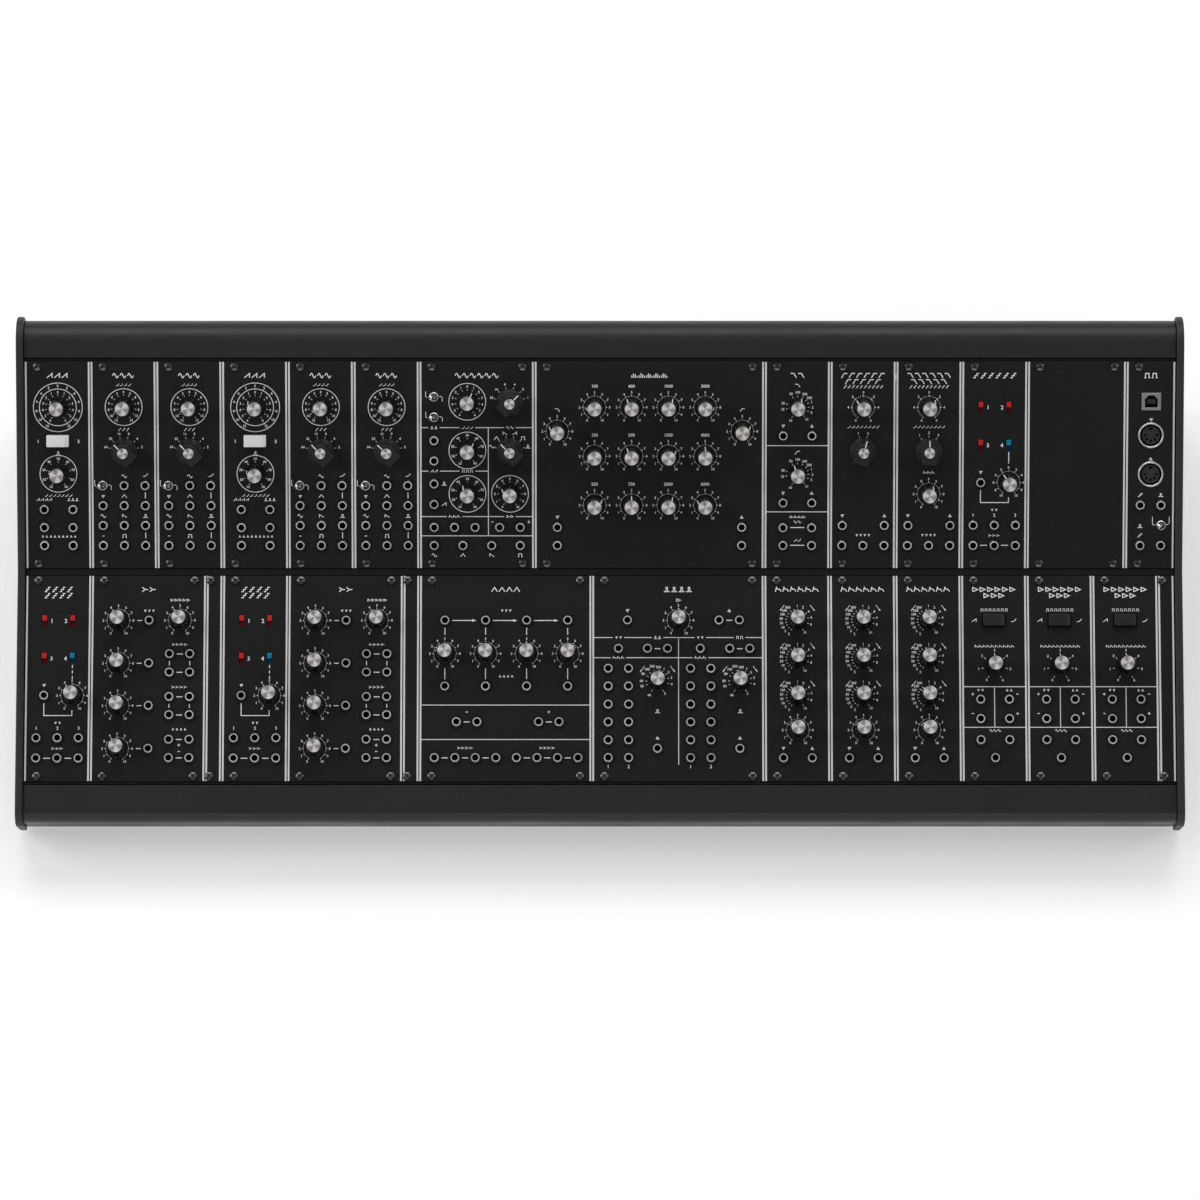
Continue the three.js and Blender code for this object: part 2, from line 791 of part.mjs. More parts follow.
const envelopeGenerator = {
  slots: 8,
  knobShares: [[middleShare, 0.218], [middleShare, 0.403], [middleShare, 0.586], [middleShare, 0.751]],
  knobPointers: [-30, -30, -55, -60],
  jackShares: [[pairShares, [0.887]]],
};

const amplifier = {
  slots: 8,
  knobShares: [[middleShare, 0.441]],
  knobPointers: [-10],
  rockerShares: [[middleShare, 0.218]],
  jackShares: [[pairShares, [0.603, 0.697, 0.799]], [[middleShare], [0.886]]],
};

// The rows, from left to right: a solid's name, the modules in it, and the names of its first moving controls
const upperRow = [
  { name: "driver_left", kinds: [driver], moving: { knob: "driver_knob", rocker: "driver_rocker" } },
  {
    name: "oscillators_left",
    kinds: [oscillator, oscillator],
    moving: { knob: "oscillator_knob", selector: "oscillator_range_selector", toggle: "oscillator_toggle" },
  },
  { name: "driver_right", kinds: [driver] },
  { name: "oscillators_right", kinds: [oscillator, oscillator] },
  {
    name: "voltage_oscillator",
    kinds: [voltageOscillator],
    moving: { knob: "voltage_knob", selector: "octave_selector", toggle: "sync_toggle" },
  },
  { name: "filter_bank", kinds: [filterBank], moving: { knob: "filter_bank_knob" } },
  { name: "filters", kinds: [filters], moving: { knob: "filters_knob" } },
  {
    name: "high_pass_filter",
    kinds: [highPassFilter],
    moving: { knob: "high_pass_knob", selector: "high_pass_selector" },
  },
  {
    name: "low_pass_filter",
    kinds: [lowPassFilter],
    moving: { knob: "low_pass_knob", selector: "low_pass_selector" },
  },
  {
    name: "control_voltages_upper",
    kinds: [controlVoltages],
    moving: { knob: "control_voltage_knob", slide: "routing_slide_switch" },
  },
  { name: "blank_panel", kinds: [blankPanel] },
  { name: "bus_interface", kinds: [busInterface], moving: { toggle: "interface_toggle" } },
];

const lowerRow = [
  { name: "control_voltages_left", kinds: [controlVoltages] },
  { name: "mixer_left", kinds: [mixer, filler], moving: { knob: "mixer_knob" } },
  { name: "control_voltages_middle", kinds: [controlVoltages] },
  { name: "mixer_middle", kinds: [mixer, filler] },
  { name: "attenuators", kinds: [attenuators], moving: { knob: "attenuator_knob" } },
  { name: "trigger_interface", kinds: [triggerInterface], moving: { knob: "sensitivity_knob" } },
  {
    name: "envelope_generators",
    kinds: [envelopeGenerator, envelopeGenerator, envelopeGenerator],
    moving: { knob: "attack_knob" },
  },
  {
    name: "amplifiers",
    kinds: [amplifier, amplifier, amplifier, filler],
    moving: { knob: "gain_knob", rocker: "amplifier_rocker" },
  },
];

function widthOf(kinds) {
  return kinds.reduce((sum, kind) => sum + kind.slots * slotWidth, 0);
}

// One solid of a row: its panel and boards, with whatever is fixed to them, and its moving controls beside it
class ModuleSolid {
  constructor(row, { name, kinds, moving = {} }, left) {
    this.row = row;
    this.movingNames = { ...moving };
    this.cuts = [];
    this.left = left;
    this.solid = box(
      [left + panelGap / 2, 0, -panelThickness],
      [left + widthOf(kinds) - panelGap / 2, panelHeight, 0],
    );
    for (const kind of kinds) {
      this.width = widthOf([kind]);
      this.addKind(kind);
      this.left += this.width;
    }
    for (const cut of this.cuts) {
      this.solid = this.solid.subtract(cut);
    }
    addPart(row, name, this.solid, panelPaint);
  }

  addKind(kind) {
    if (kind.jackShares) this.addBoard();
    (kind.jackShares ?? []).forEach(([acrossShares, downShares]) => this.addJacks(acrossShares, downShares));
    const { knobPointers, selectorPointers } = kind;
    (kind.knobShares ?? []).forEach((share, i) => this.addKnob(this.at(share), knobPointers[i]));
    (kind.selectorShares ?? []).forEach((share, i) => this.addSelector(this.at(share), selectorPointers[i]));
    (kind.rockerShares ?? []).forEach((share) => this.addRocker(this.at(share)));
    (kind.toggleShares ?? []).forEach((share) => this.addToggle(this.at(share)));
    (kind.slideShares ?? []).forEach((share) => this.addSlide(this.at(share)));
    (kind.dataSocketShares ?? []).forEach((share) => this.addDataSocket(this.at(share)));
    (kind.roundSocketShares ?? []).forEach((share) => this.addRoundSocket(this.at(share)));
  }

  // A place on the panel, from its shares
  at([acrossShare, downShare]) {
    return [this.left + acrossShare * this.width, (1 - downShare) * panelHeight];
  }

  join(solid) {
    this.solid = this.solid.add(solid);
  }

  // What stands behind the panel, as far as the circuit board
  joinBody([x, y], width, height) {
    this.join(
      box(
        [x - width / 2, y - height / 2, -boardDepth - sink],
        [x + width / 2, y + height / 2, -panelThickness + sink],
      ),
    );
  }

  // The first control of each sort moves by itself, under its own name; the others are joined to the panel
  takeName(sort) {
    const name = this.movingNames[sort];
    delete this.movingNames[sort];
    return name;
  }

  // The circuit board, with a block of its tallest components behind it
  addBoard() {
    const back = -boardDepth - boardThickness;
    const middle = this.left + this.width / 2;
    const low = (panelHeight - componentHeight) / 2;
    this.join(
      box(
        [this.left + boardSideInset, boardInset, back],
        [this.left + this.width - boardSideInset, panelHeight - boardInset, -boardDepth],
      ),
    );
    this.join(
      box(
        [middle - componentWidth / 2, low, back - componentDepth],
        [middle + componentWidth / 2, low + componentHeight, back + sink],
      ),
    );
  }

  // A field of sockets in columns and rows: one body behind them all, and a bore for each
  addJacks(acrossShares, downShares) {
    const [left, top] = this.at([acrossShares[0], downShares[0]]);
    const [right, bottom] = this.at([acrossShares.at(-1), downShares.at(-1)]);
    const middle = [(left + right) / 2, (top + bottom) / 2];
    this.joinBody(middle, right - left + jackBodyWidth, top - bottom + jackBodyWidth);
    for (const share of acrossShares.flatMap((across) => downShares.map((down) => [across, down]))) {
      this.cuts.push(turned([[jackRadius, -jackDepth], [jackRadius, overrun]], jackSides, this.at(share)));
    }
  }

  // The blind bore that a shaft turns in
  addBearing(place) {
    const radius = shaftRadius + shaftClearance;
    this.joinBody(place, potBodyWidth, potBodyWidth);
    this.cuts.push(turned([[radius, -shaftDepth - shaftClearance], [radius, overrun]], shaftSides, place));
  }

  addKnob(place, pointer) {
    const name = this.takeName("knob");
    if (name) {
      const solid = knobSolid().add(knobMark()).add(shaftSolid());
      const turn = -THREE.MathUtils.degToRad(pointer);
      this.addBearing(place);
      addPart(this.row, name, solid, knobBlack, [...place, knobClearance], [0, 0, turn]);
    } else {
      this.join(knobSolid().rotate([0, 0, -pointer]).translate([...place, -sink]));
    }
  }

  addSelector(place, pointer) {
    const name = this.takeName("selector");
    if (name) {
      const solid = selectorSolid().add(shaftSolid());
      const turn = -THREE.MathUtils.degToRad(pointer);
      this.addBearing(place);
      addPart(this.row, name, solid, knobBlack, [...place, knobClearance], [0, 0, turn]);
    } else {
      this.join(selectorSolid().rotate([0, 0, -pointer]).translate([...place, -sink]));
    }
  }

  addRocker([x, y]) {
    const name = this.takeName("rocker");
    const cap = rockerCap(rockerLength, rockerWidth);
    if (name) {
      const halfLength = rockerLength / 2 + rockerClearance;
      const halfWidth = rockerWidth / 2 + rockerClearance;
      this.joinBody([x, y], 2 * (halfLength + switchBodyMargin), 2 * (halfWidth + switchBodyMargin));
      this.cuts.push(
        box([x - halfLength, y - halfWidth, -rockerWellDepth], [x + halfLength, y + halfWidth, overrun]),
      );
      addPart(this.row, name, cap, whitePlastic, [x, y, 0]);
    } else {
      this.join(cap.translate([x, y, 0]));
    }
  }

  addToggle([x, y]) {
    const name = this.takeName("toggle");
    const lean = -toggleThrow;
    this.join(turned([[toggleBushRadius, -sink], [toggleBushRadius, toggleBushHeight]], shaftSides, [x, y]));
    if (name) {
      const bore = [[toggleBoreRadius, -toggleBoreDepth], [toggleBoreRadius, toggleBushHeight + overrun]];
      const bodyWidth = 2 * (toggleBoreRadius + switchBodyMargin);
      this.joinBody([x, y], bodyWidth, bodyWidth);
      this.cuts.push(turned(bore, shaftSides, [x, y]));
      addPart(this.row, name, leverSolid(), zincSteel, [x, y, -togglePivotDepth], [0, lean, 0]);
    } else {
      const lever = leverSolid().rotate([0, THREE.MathUtils.radToDeg(lean), 0]);
      this.join(lever.translate([x, y, -togglePivotDepth]));
    }
  }

  // The button stands at the head of its slot, and slides down
  addSlide([x, y]) {
    const name = this.takeName("slide");
    const halfSlotWidth = slideWidth / 2 + slideClearance;
    const halfSlotLength = (slideTravel + slideButtonLength) / 2 + slideClearance;
    const buttonPlace = [x, y + slideTravel / 2, 0];
    if (name) {
      this.joinBody([x, y], 2 * (halfSlotWidth + switchBodyMargin), 2 * (halfSlotLength + switchBodyMargin));
      this.cuts.push(
        box(
          [x - halfSlotWidth, y - halfSlotLength, -slideDepth - slideClearance],
          [x + halfSlotWidth, y + halfSlotLength, overrun],
        ),
      );
      addPart(this.row, name, slideSolid(), redPlastic, buttonPlace);
    } else {
      this.join(slideSolid().translate(buttonPlace));
      this.cuts.push(
        box(
          [x - halfSlotWidth, y - halfSlotLength, -slideRecess],
          [x + halfSlotWidth, y + slideTravel / 2 - slideButtonLength / 2, overrun],
        ),
      );
    }
  }

  // A square data socket: a shell with a tongue inside
  addDataSocket([x, y]) {
    const centred = (width, height, low, high) =>
      box([x - width / 2, y - height / 2, low], [x + width / 2, y + height / 2, high]);
    const floor = usbProud - usbDepth;
    this.join(centred(usbWidth, usbHeight, -boardDepth - sink, usbProud));
    const inside = centred(usbWidth - 2 * usbWall, usbHeight - 2 * usbWall, floor, usbProud + overrun);
    this.cuts.push(inside.subtract(centred(usbTongueWidth, usbTongueHeight, floor, -usbProud)));
  }

  // A round socket: a metal ring round a recessed face
  addRoundSocket(place) {
    const faceRadius = dinRadius - dinWall;
    this.joinBody(place, 2 * faceRadius, 2 * faceRadius);
    this.join(turned([[dinRadius, -sink], [dinRadius, dinProud]], dinSides, place));
    const recess = [[faceRadius, dinProud - dinRecess], [faceRadius, dinProud + overrun]];
    this.cuts.push(turned(recess, dinSides, place));
  }
}

function addRow(entries, [y, z], tilt) {
  const row = new THREE.Group();
  row.position.set(-rowWidth / 2, y, z);
  row.rotation.x = tilt;
  synthesizer.add(row);
  let left = 0;
  for (const entry of entries) {
    new ModuleSolid(row, entry, left);
    left += widthOf(entry.kinds);
  }
}

addCheeks();
addFrontCover();
addTopCover();
addBase();
addRearPanel();
addRails();
addBusBoard();
addSupply();
addInlet();
addRow(upperRow, upperStart, upperTilt);
addRow(lowerRow, lowerStart, lowerTilt);

export default synthesizer;
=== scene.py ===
# The looks of a modular synthesizer: two rows of patchable modules in a wedge-shaped desktop case.
# Shapes are in millimetres, on the panels of a row or in the whole frame, until they become meshes.

import json
import math
from functools import cache
from itertools import product

import bmesh
import bpy
from mathutils import Matrix, Vector
from mathutils.geometry import tessellate_polygon


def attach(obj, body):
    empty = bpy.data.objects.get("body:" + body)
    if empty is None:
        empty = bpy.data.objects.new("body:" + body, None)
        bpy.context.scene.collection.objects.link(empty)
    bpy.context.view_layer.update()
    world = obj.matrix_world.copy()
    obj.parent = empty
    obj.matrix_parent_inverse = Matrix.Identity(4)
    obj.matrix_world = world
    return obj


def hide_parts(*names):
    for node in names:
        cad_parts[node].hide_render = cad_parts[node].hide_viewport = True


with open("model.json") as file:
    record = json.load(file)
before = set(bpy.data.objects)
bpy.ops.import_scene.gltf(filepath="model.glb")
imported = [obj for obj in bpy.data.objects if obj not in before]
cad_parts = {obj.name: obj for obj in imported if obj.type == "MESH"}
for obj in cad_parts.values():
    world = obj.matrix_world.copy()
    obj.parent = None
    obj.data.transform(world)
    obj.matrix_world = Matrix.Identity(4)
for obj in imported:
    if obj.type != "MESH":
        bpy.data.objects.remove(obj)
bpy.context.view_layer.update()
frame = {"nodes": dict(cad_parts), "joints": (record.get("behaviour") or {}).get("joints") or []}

METRES_PER_MM = 0.001

# Module grid, as in the solids
SLOT_WIDTH = 5.08
PANEL_HEIGHT = 128.5
PANEL_THICKNESS = 2
PANEL_GAP = 0.3
PANEL_BEVEL = 0.25

# Printing on the panels
PRINT_SINK = 0.02
PRINT_RISE = 0.05
STRIPE_WIDTH = 1.05
STRIPE_INSET = 0.35
SECTION_WIDTH = 0.5
SECTION_GAP = 1.1
LINK_WIDTH = 0.5
SCALE_WIDTH = 0.3
CIRCLE_WIDTH = 0.4
DIGIT_HEIGHT = 1.55
NUMBER_HEIGHT = 2
LARGE_NUMBER_HEIGHT = 2.5
ARC_WIDTH = 0.1
ARROW_LENGTH_RATIO = 5.4
ARROW_HALF_WIDTH_RATIO = 1.6
BOLDNESS = 0.015
LETTER_RESOLUTION = 2
SYMBOL_LINE = 0.35
CIRCLE_SIDES = 64
ARC_STEPS = 48

# Symbols: half of their width and height, their lines and the pitch of a row of them
SYMBOL_SIZE = (1.5, 0.95, 0.4, 0)
CAPTION_SIZE = (0.95, 0.72, 0.32, 2.5)
TITLE_SIZE = (1.8, 1.35, 0.55, 4.6)

# Scales round the controls, as radii from their centres
DIAL_SWEEP = 300
TICK_RADII = (7, 7.9)
MINOR_TICK_RADII = (6.6, 7.3)
LABEL_RADIUS = 9.3
CIRCLE_RADIUS = 11.4
CIRCLE_LABEL_RADIUS = 9.4
TIME_LABEL_RADII = (10, 8.9)
TIME_TICK_RADII = (6.3, 7.4)
VOLT_TICK_RADII = (6.6, 7.9)
LONG_TICK_RADII = (7, 8.3)
LONG_LABEL_RADII = (10, 10)
OUTER_CIRCLE_RADIUS = 15.1
OUTER_LABEL_RADIUS = 13.4
OUTER_TICK_RADII = (11.4, 12.2)
SELECTOR_TICK_RADII = (8.6, 9.7)
SELECTOR_LABEL_RADIUS = 11.6
RANGE_ARROW_START = (8, 9.5)
RANGE_ARROW_END = (10.9, 5.7)

# Lines beside a toggle switch, from its middle
OPPOSED_GUIDES = (
    [(-5.1, 3.3), (-5.1, 0.1), (-4.4, -0.5)],
    [(3.1, 0.3), (4.3, 0.3), (5.2, -0.6), (5.2, -2.9)],
)
RAISED_GUIDES = (
    [(-5.3, 5.1), (-5.3, 0.7), (-4.6, 0), (-3.7, 0)],
    [(5.1, 5.1), (5.1, 1.2), (4.2, 0.3), (3.2, 0.3)],
)

# How far a printed link stays from the middle of what it joins
SOCKET_CLEARANCE = 4.4
ARROW_CLEARANCE = 5.7
DIAL_CLEARANCE = 11.7
DIAL_FOOT_CLEARANCE = 9.2
SLIDE_FOOT_CLEARANCE = 4.4
DASH_LENGTH = 1.9
DASH_GAP = 1.5

# Sockets
JACK_BORE_RADIUS = 1.8
JACK_RIM_RADIUS = 1.95
JACK_RIM_EDGE = 0.1
JACK_BUSH_RADIUS = 2.7
JACK_BUSH_RISE = 2
JACK_BUSH_DEPTH = 2.6
JACK_NUT_RADIUS = 3.75
JACK_NUT_RISE = 1.4
JACK_NUT_CHAMFER = 0.45
JACK_BODY_WIDTH = 8.4
JACK_SIDES = 36
NUT_KNURLS = 18
NUT_KNURL_SHARE = 0.03

# Knobs
KNOB_CLEARANCE = 0.4
KNOB_SKIRT_RADIUS = 6
KNOB_SKIRT_HEIGHT = 2.2
KNOB_WAIST_RADIUS = 5.4
KNOB_TOP_RADIUS = 4.9
KNOB_HEIGHT = 15.5
KNOB_EDGE = 0.35
KNOB_FLUTES = 24
KNOB_FLUTE_SHARE = 0.045
KNOB_SIDES = 96
KNOB_CAP_RADIUS = 4.3
KNOB_CAP_DEPTH = 0.6
KNOB_MARK_WIDTH = 0.55
KNOB_MARK_RISE = 0.15
SHAFT_RADIUS = 3
SHAFT_CLEARANCE = 0.35
SHAFT_DEPTH = 6
SHAFT_SIDES = 32
POT_RADIUS = 5.4
SELECTOR_RADIUS = 8.3
SELECTOR_RIM_HEIGHT = 1.2
SELECTOR_SHOULDER_RADIUS = 5.4
SELECTOR_SHOULDER_HEIGHT = 4.5
SELECTOR_HEIGHT = 12.5
SELECTOR_EDGE = 0.3
SELECTOR_SIDES = 96
SELECTOR_CAP_RADIUS = 3.2
SELECTOR_CAP_RISE = 1
SELECTOR_LINE_START = 3.6
SELECTOR_LINE_END = 7.6
SELECTOR_LINE_WIDTH = 0.6

# Half the outline of a selector's grip, from pointer to tail: bearings, and shares of the skirt's radius
SELECTOR_GRIP_DEGREES = (9, 15, 24, 36, 48, 60, 72, 84, 96, 108, 120, 130, 137, 142, 147, 155, 165, 180)
SELECTOR_GRIP_SHARES = (
    0.97, 0.66, 0.645, 0.64, 0.64, 0.64, 0.64, 0.64, 0.64, 0.64,
    0.645, 0.68, 0.77, 0.9, 1.04, 0.98, 0.94, 0.92,
)
CAP_EDGE = 0.15
CAP_DISH = 0.12
CAP_RINGS = 6

# Switches
TOGGLE_NUT_RADIUS = 2.85
TOGGLE_NUT_RISE = 2.4
TOGGLE_BORE_RADIUS = 2.3
TOGGLE_BALL_RADIUS = 2
TOGGLE_BALL_DEPTH = 0.5
TOGGLE_BALL_RINGS = 8
TOGGLE_NUT_EDGE = 0.35
TOGGLE_LEVER_RADIUS = 0.85
TOGGLE_TIP_RADIUS = 1.35
TOGGLE_LEVER_LENGTH = 10.4
TOGGLE_TIP_LENGTH = 2.2
TOGGLE_TIP_SHARE = 0.9
TOGGLE_TIP_ROUND = 0.44
TOGGLE_PIVOT_DEPTH = 0.9
TOGGLE_LEAN_DEGREES = 12
ROCKER_LENGTH = 13.7
ROCKER_WIDTH = 7.4
ROCKER_HEIGHT = 3.2
ROCKER_LOW_HEIGHT = 1.5
ROCKER_BEND_SHARE = 0.82
ROCKER_SKIRT = 1.5
ROCKER_CLEARANCE = 0.35
ROCKER_WELL_DEPTH = 4
ROCKER_EDGE = 0.45
WELL_WALL = 1.2
SLIDE_WIDTH = 2.9
SLIDE_TRAVEL = 3.5
SLIDE_BUTTON_LENGTH = 3.4
SLIDE_BUTTON_RISE = 0.9
SLIDE_BUTTON_DEPTH = 1
SLIDE_CLEARANCE = 0.2
SLIDE_FLOOR_GAP = 0.1
SLIDE_EDGE = 0.22
EDGE_STEPS = 3
ROUND_PROFILE = 0.5

# Data sockets
USB_WIDTH = 12
USB_HEIGHT = 10.8
USB_PROUD = 0.8
USB_OPENING = (7.9, 7.6)
USB_CHAMFER = 2.3
USB_DEPTH = 8
USB_TONGUE_WIDTH = 5.3
USB_TONGUE_HEIGHT = 3.1
USB_TONGUE_DEPTH = 0.9
DIN_RADIUS = 7.9
DIN_WALL = 1
DIN_PROUD = 1
DIN_RECESS = 1.6
DIN_FACE_RADIUS = 5.6
DIN_PIN_CIRCLE = 3.6
DIN_PIN_SIZE = (1.1, 1.9)
DIN_PIN_DEPTH = 3
DIN_PIN_DEGREES = (90, 135, 180, 225, 270)
DIN_NOTCH_HALF_WIDTH = 1.3
DIN_NOTCH_DEPTH = 1.5
DIN_SIDES = 48

# Screws
SCREW_RADIUS = 2.7
SCREW_RISE = 1.5
SCREW_EDGE = 0.5
SCREW_RECESS_RADIUS = 1.1
SCREW_RECESS_DEPTH = 1.2
SCREW_END_INSET = 3.2
SCREW_LEFT_INSET = 7.8
SCREW_RIGHT_INSET = 7.3
FILLER_SCREW_INSET = 2.7
WIDE_PANEL_SLOTS = 10
SCREW_SIDES = 36

# Circuit boards, behind the panels
BOARD_DEPTH = 12
BOARD_THICKNESS = 1.6
BOARD_INSET = 10.5
BOARD_SIDE_INSET = 1.5
CHIP_LENGTH = 10
CHIP_WIDTH = 4
CHIP_HEIGHT = 1.7
CHIP_PITCH = 15
HEADER_LENGTH = 14
HEADER_WIDTH = 5
HEADER_HEIGHT = 5

# Case
CASE_EDGE = 0.35
CHEEK_EDGE = 0.9
CASE_EDGE_STEPS = 2
SHARP_DEGREES = 34
FLAT_DEGREES = 0.5
WELD_DISTANCE = 0.001


# Finishes. Colours are linear, and the textures' scales are in repeats per metre.

NOISE_RANGE = (0.3, 0.7)
PATCH_SCALE = 25
WEAR = 0.06
BUMP_STRENGTH = 0.4
POLAR_MAP = "polar"
# Spun caps: a dark and a light colour, painted shade and painted highlight, laid in wedges round each cap in
# place of its reflections
PAINTED_SHEEN_COLOURS = ((0.35, 0.34, 0.33), (1, 0.99, 0.97))
SPUN_METALLIC = 0.5
SPUN_ANISOTROPY = 0.9
SPUN_ROUGHNESS = 0.26
SPUN_WEAR = 0.05
# How many painted highlight wedges go round a cap, and the bearing they start from
PAINTED_SHEEN_WEDGES = 3
PAINTED_SHEEN_PHASE = math.radians(-45)
GROOVE_STRETCH = (0, 60, 1)
GROOVE_DETAIL = 2

FINISHES = {}


def set_inputs(tree, node, inputs):
    """Each input becomes a value, or is linked to another node's output."""
    for key, value in inputs.items():
        if isinstance(value, bpy.types.NodeSocket):
            tree.links.new(value, node.inputs[key])
        else:
            node.inputs[key].default_value = value


def add_node(tree, sort, inputs, output=0, **settings):
    """An output of a new node."""
    node = tree.nodes.new("ShaderNode" + sort)
    for key, value in settings.items():
        setattr(node, key, value)
    set_inputs(tree, node, inputs)
    return node.outputs[output]


def noise(tree, place, scale, detail=3):
    return add_node(tree, "TexNoise", {"Scale": scale, "Detail": detail, "Vector": place})


def ranged(tree, value, source, target):
    """The value, brought from one range into another."""
    limits = zip(("From Min", "From Max", "To Min", "To Max"), (*source, *target))
    return add_node(tree, "MapRange", {**dict(limits), "Value": value})


def ramp(tree, value, positions, colours):
    """A colour between two others, which stand at two positions in the value's range."""
    node = tree.nodes.new("ShaderNodeValToRGB")
    for end, position, colour in zip(node.color_ramp.elements, positions, colours):
        end.position = position
        end.color = (*colour, 1)
    set_inputs(tree, node, {"Fac": value})
    return node.outputs["Color"]


def mottled(tree, value, colour, spread):
    """The colour, a little darker and lighter from place to place."""
    shades = [[min(1, channel * (1 + side * spread)) for channel in colour] for side in (-1, 1)]
    return ramp(tree, value, NOISE_RANGE, shades)


def new_material(name):
    material = bpy.data.materials.new(name)
    material.use_nodes = True
    tree = material.node_tree
    return material, tree, tree.nodes["Principled BSDF"]


def finish(name, colour, roughness, metallic=0, specular=0.5, grain=1500, spread=0.15, depth=0.00003):
    """Moulded, painted or plated: a fine grain in its colour and surface, and broad patches in its gloss."""
    FINISHES[name], tree, shader = new_material(name)
    place = add_node(tree, "TexCoord", {}, "Object")
    fine = noise(tree, place, grain)
    broad = noise(tree, place, PATCH_SCALE)
    inputs = {
        "Metallic": metallic,
        "Specular IOR Level": specular,
        "Base Color": mottled(tree, fine, colour, spread),
        "Roughness": ranged(tree, broad, NOISE_RANGE, (roughness - WEAR, roughness + WEAR)),
        "Normal": add_node(tree, "Bump", {"Distance": depth, "Strength": BUMP_STRENGTH, "Height": fine}),
    }
    set_inputs(tree, shader, inputs)


def spun_finish(name):
    """Turned aluminium: fine grooves round the middle, and a painted reflection: its colour falls into wedges
    of painted shade and painted highlight.
    """
    FINISHES[name], tree, shader = new_material(name)
    polar = add_node(tree, "UVMap", {}, uv_map=POLAR_MAP)
    turn = add_node(tree, "SeparateXYZ", {"Vector": polar}, "X")
    # The colour swings from painted shade to painted highlight and back, by turns round the cap
    wedges = {0: turn, 1: math.tau * PAINTED_SHEEN_WEDGES, 2: PAINTED_SHEEN_PHASE}
    angle = add_node(tree, "Math", wedges, operation="MULTIPLY_ADD")
    painted_sheen = add_node(tree, "Math", {0: angle}, operation="SINE")
    share = add_node(tree, "MapRange", {"Value": painted_sheen, "From Min": -1})
    across = add_node(tree, "Mapping", {"Vector": polar, "Scale": GROOVE_STRETCH})
    grooves = noise(tree, across, 1, GROOVE_DETAIL)
    roughnesses = (SPUN_ROUGHNESS - SPUN_WEAR, SPUN_ROUGHNESS + SPUN_WEAR)
    inputs = {
        "Metallic": SPUN_METALLIC,
        "Anisotropic": SPUN_ANISOTROPY,
        "Tangent": add_node(tree, "Tangent", {}, direction_type="UV_MAP", uv_map=POLAR_MAP),
        "Base Color": ramp(tree, share, (0, 1), PAINTED_SHEEN_COLOURS),
        "Roughness": ranged(tree, grooves, NOISE_RANGE, roughnesses),
    }
    set_inputs(tree, shader, inputs)


finish("cheek", (0.026, 0.026, 0.027), 0.5, specular=0.3, grain=900, depth=0.00006)
finish("case_paint", (0.02, 0.02, 0.0205), 0.42, specular=0.3, grain=1300)
finish("rail", (0.009, 0.009, 0.009), 0.45, specular=0.2, grain=1300)
finish("steel", (0.5, 0.51, 0.52), 0.4, metallic=1, grain=300, depth=0.00001)
finish("panel", (0.0118, 0.0118, 0.0124), 0.55, specular=0.14, grain=2200, spread=0.3)
finish("print", (0.85, 0.85, 0.84), 0.6, specular=0.2, grain=3000, spread=0.08)
finish("silver", (0.8, 0.8, 0.81), 0.45, metallic=0.3, grain=2500, spread=0.03)
finish("knob", (0.004, 0.004, 0.0042), 0.25, specular=0.25, grain=1800)
finish("selector", (0.02, 0.02, 0.0205), 0.35, specular=0.3, grain=1800)
finish("shaft", (0.55, 0.55, 0.54), 0.35, metallic=1, grain=900)
finish("nut", (0.008, 0.008, 0.008), 0.35, specular=0.3, grain=1800)
finish("metal", (0.88, 0.88, 0.87), 0.4, metallic=1, grain=1200, spread=0.05)
finish("lever", (0.8, 0.8, 0.79), 0.22, metallic=1, grain=1200, spread=0.05)
finish("ball", (0.3, 0.3, 0.3), 0.4, metallic=1, grain=1200)
finish("shell", (0.3, 0.3, 0.3), 0.4, metallic=0.5, grain=900)
finish("socket_face", (0.028, 0.028, 0.028), 0.45, specular=0.3, grain=900)
finish("bore", (0.004, 0.004, 0.004), 0.7, specular=0.1)
finish("screw", (0.09, 0.09, 0.09), 0.25, metallic=1, grain=1200)
finish("rocker_white", (0.87, 0.87, 0.85), 0.35, specular=0.3, grain=700, spread=0.02)
finish("rocker_black", (0.018, 0.018, 0.019), 0.42, specular=0.25, grain=700)
finish("slide_red", (0.5, 0.018, 0.022), 0.35, specular=0.25, grain=700, spread=0.05)
# Slot floor: the red slide's own plastic, made much darker as painted shade in its slot
finish("slide_red_floor", (0.085, 0.002, 0.003), 0.5, specular=0.15, grain=700, spread=0.1)
finish("slide_blue", (0.002, 0.19, 0.36), 0.35, specular=0.25, grain=700, spread=0.05)
# Slot floor: the blue slide's own plastic, made much darker as painted shade in its slot
finish("slide_blue_floor", (0.001, 0.035, 0.08), 0.5, specular=0.15, grain=700, spread=0.1)
finish("board", (0.01, 0.09, 0.035), 0.35, grain=500, spread=0.2)
finish("chip", (0.012, 0.012, 0.012), 0.6)
finish("foot", (0.012, 0.012, 0.012), 0.8, specular=0.25, grain=800, depth=0.00008)
finish("inlet", (0.014, 0.014, 0.014), 0.45, specular=0.35, grain=1200)
spun_finish("cap")


# Solids: a list of points and a list of faces. Every solid is closed.


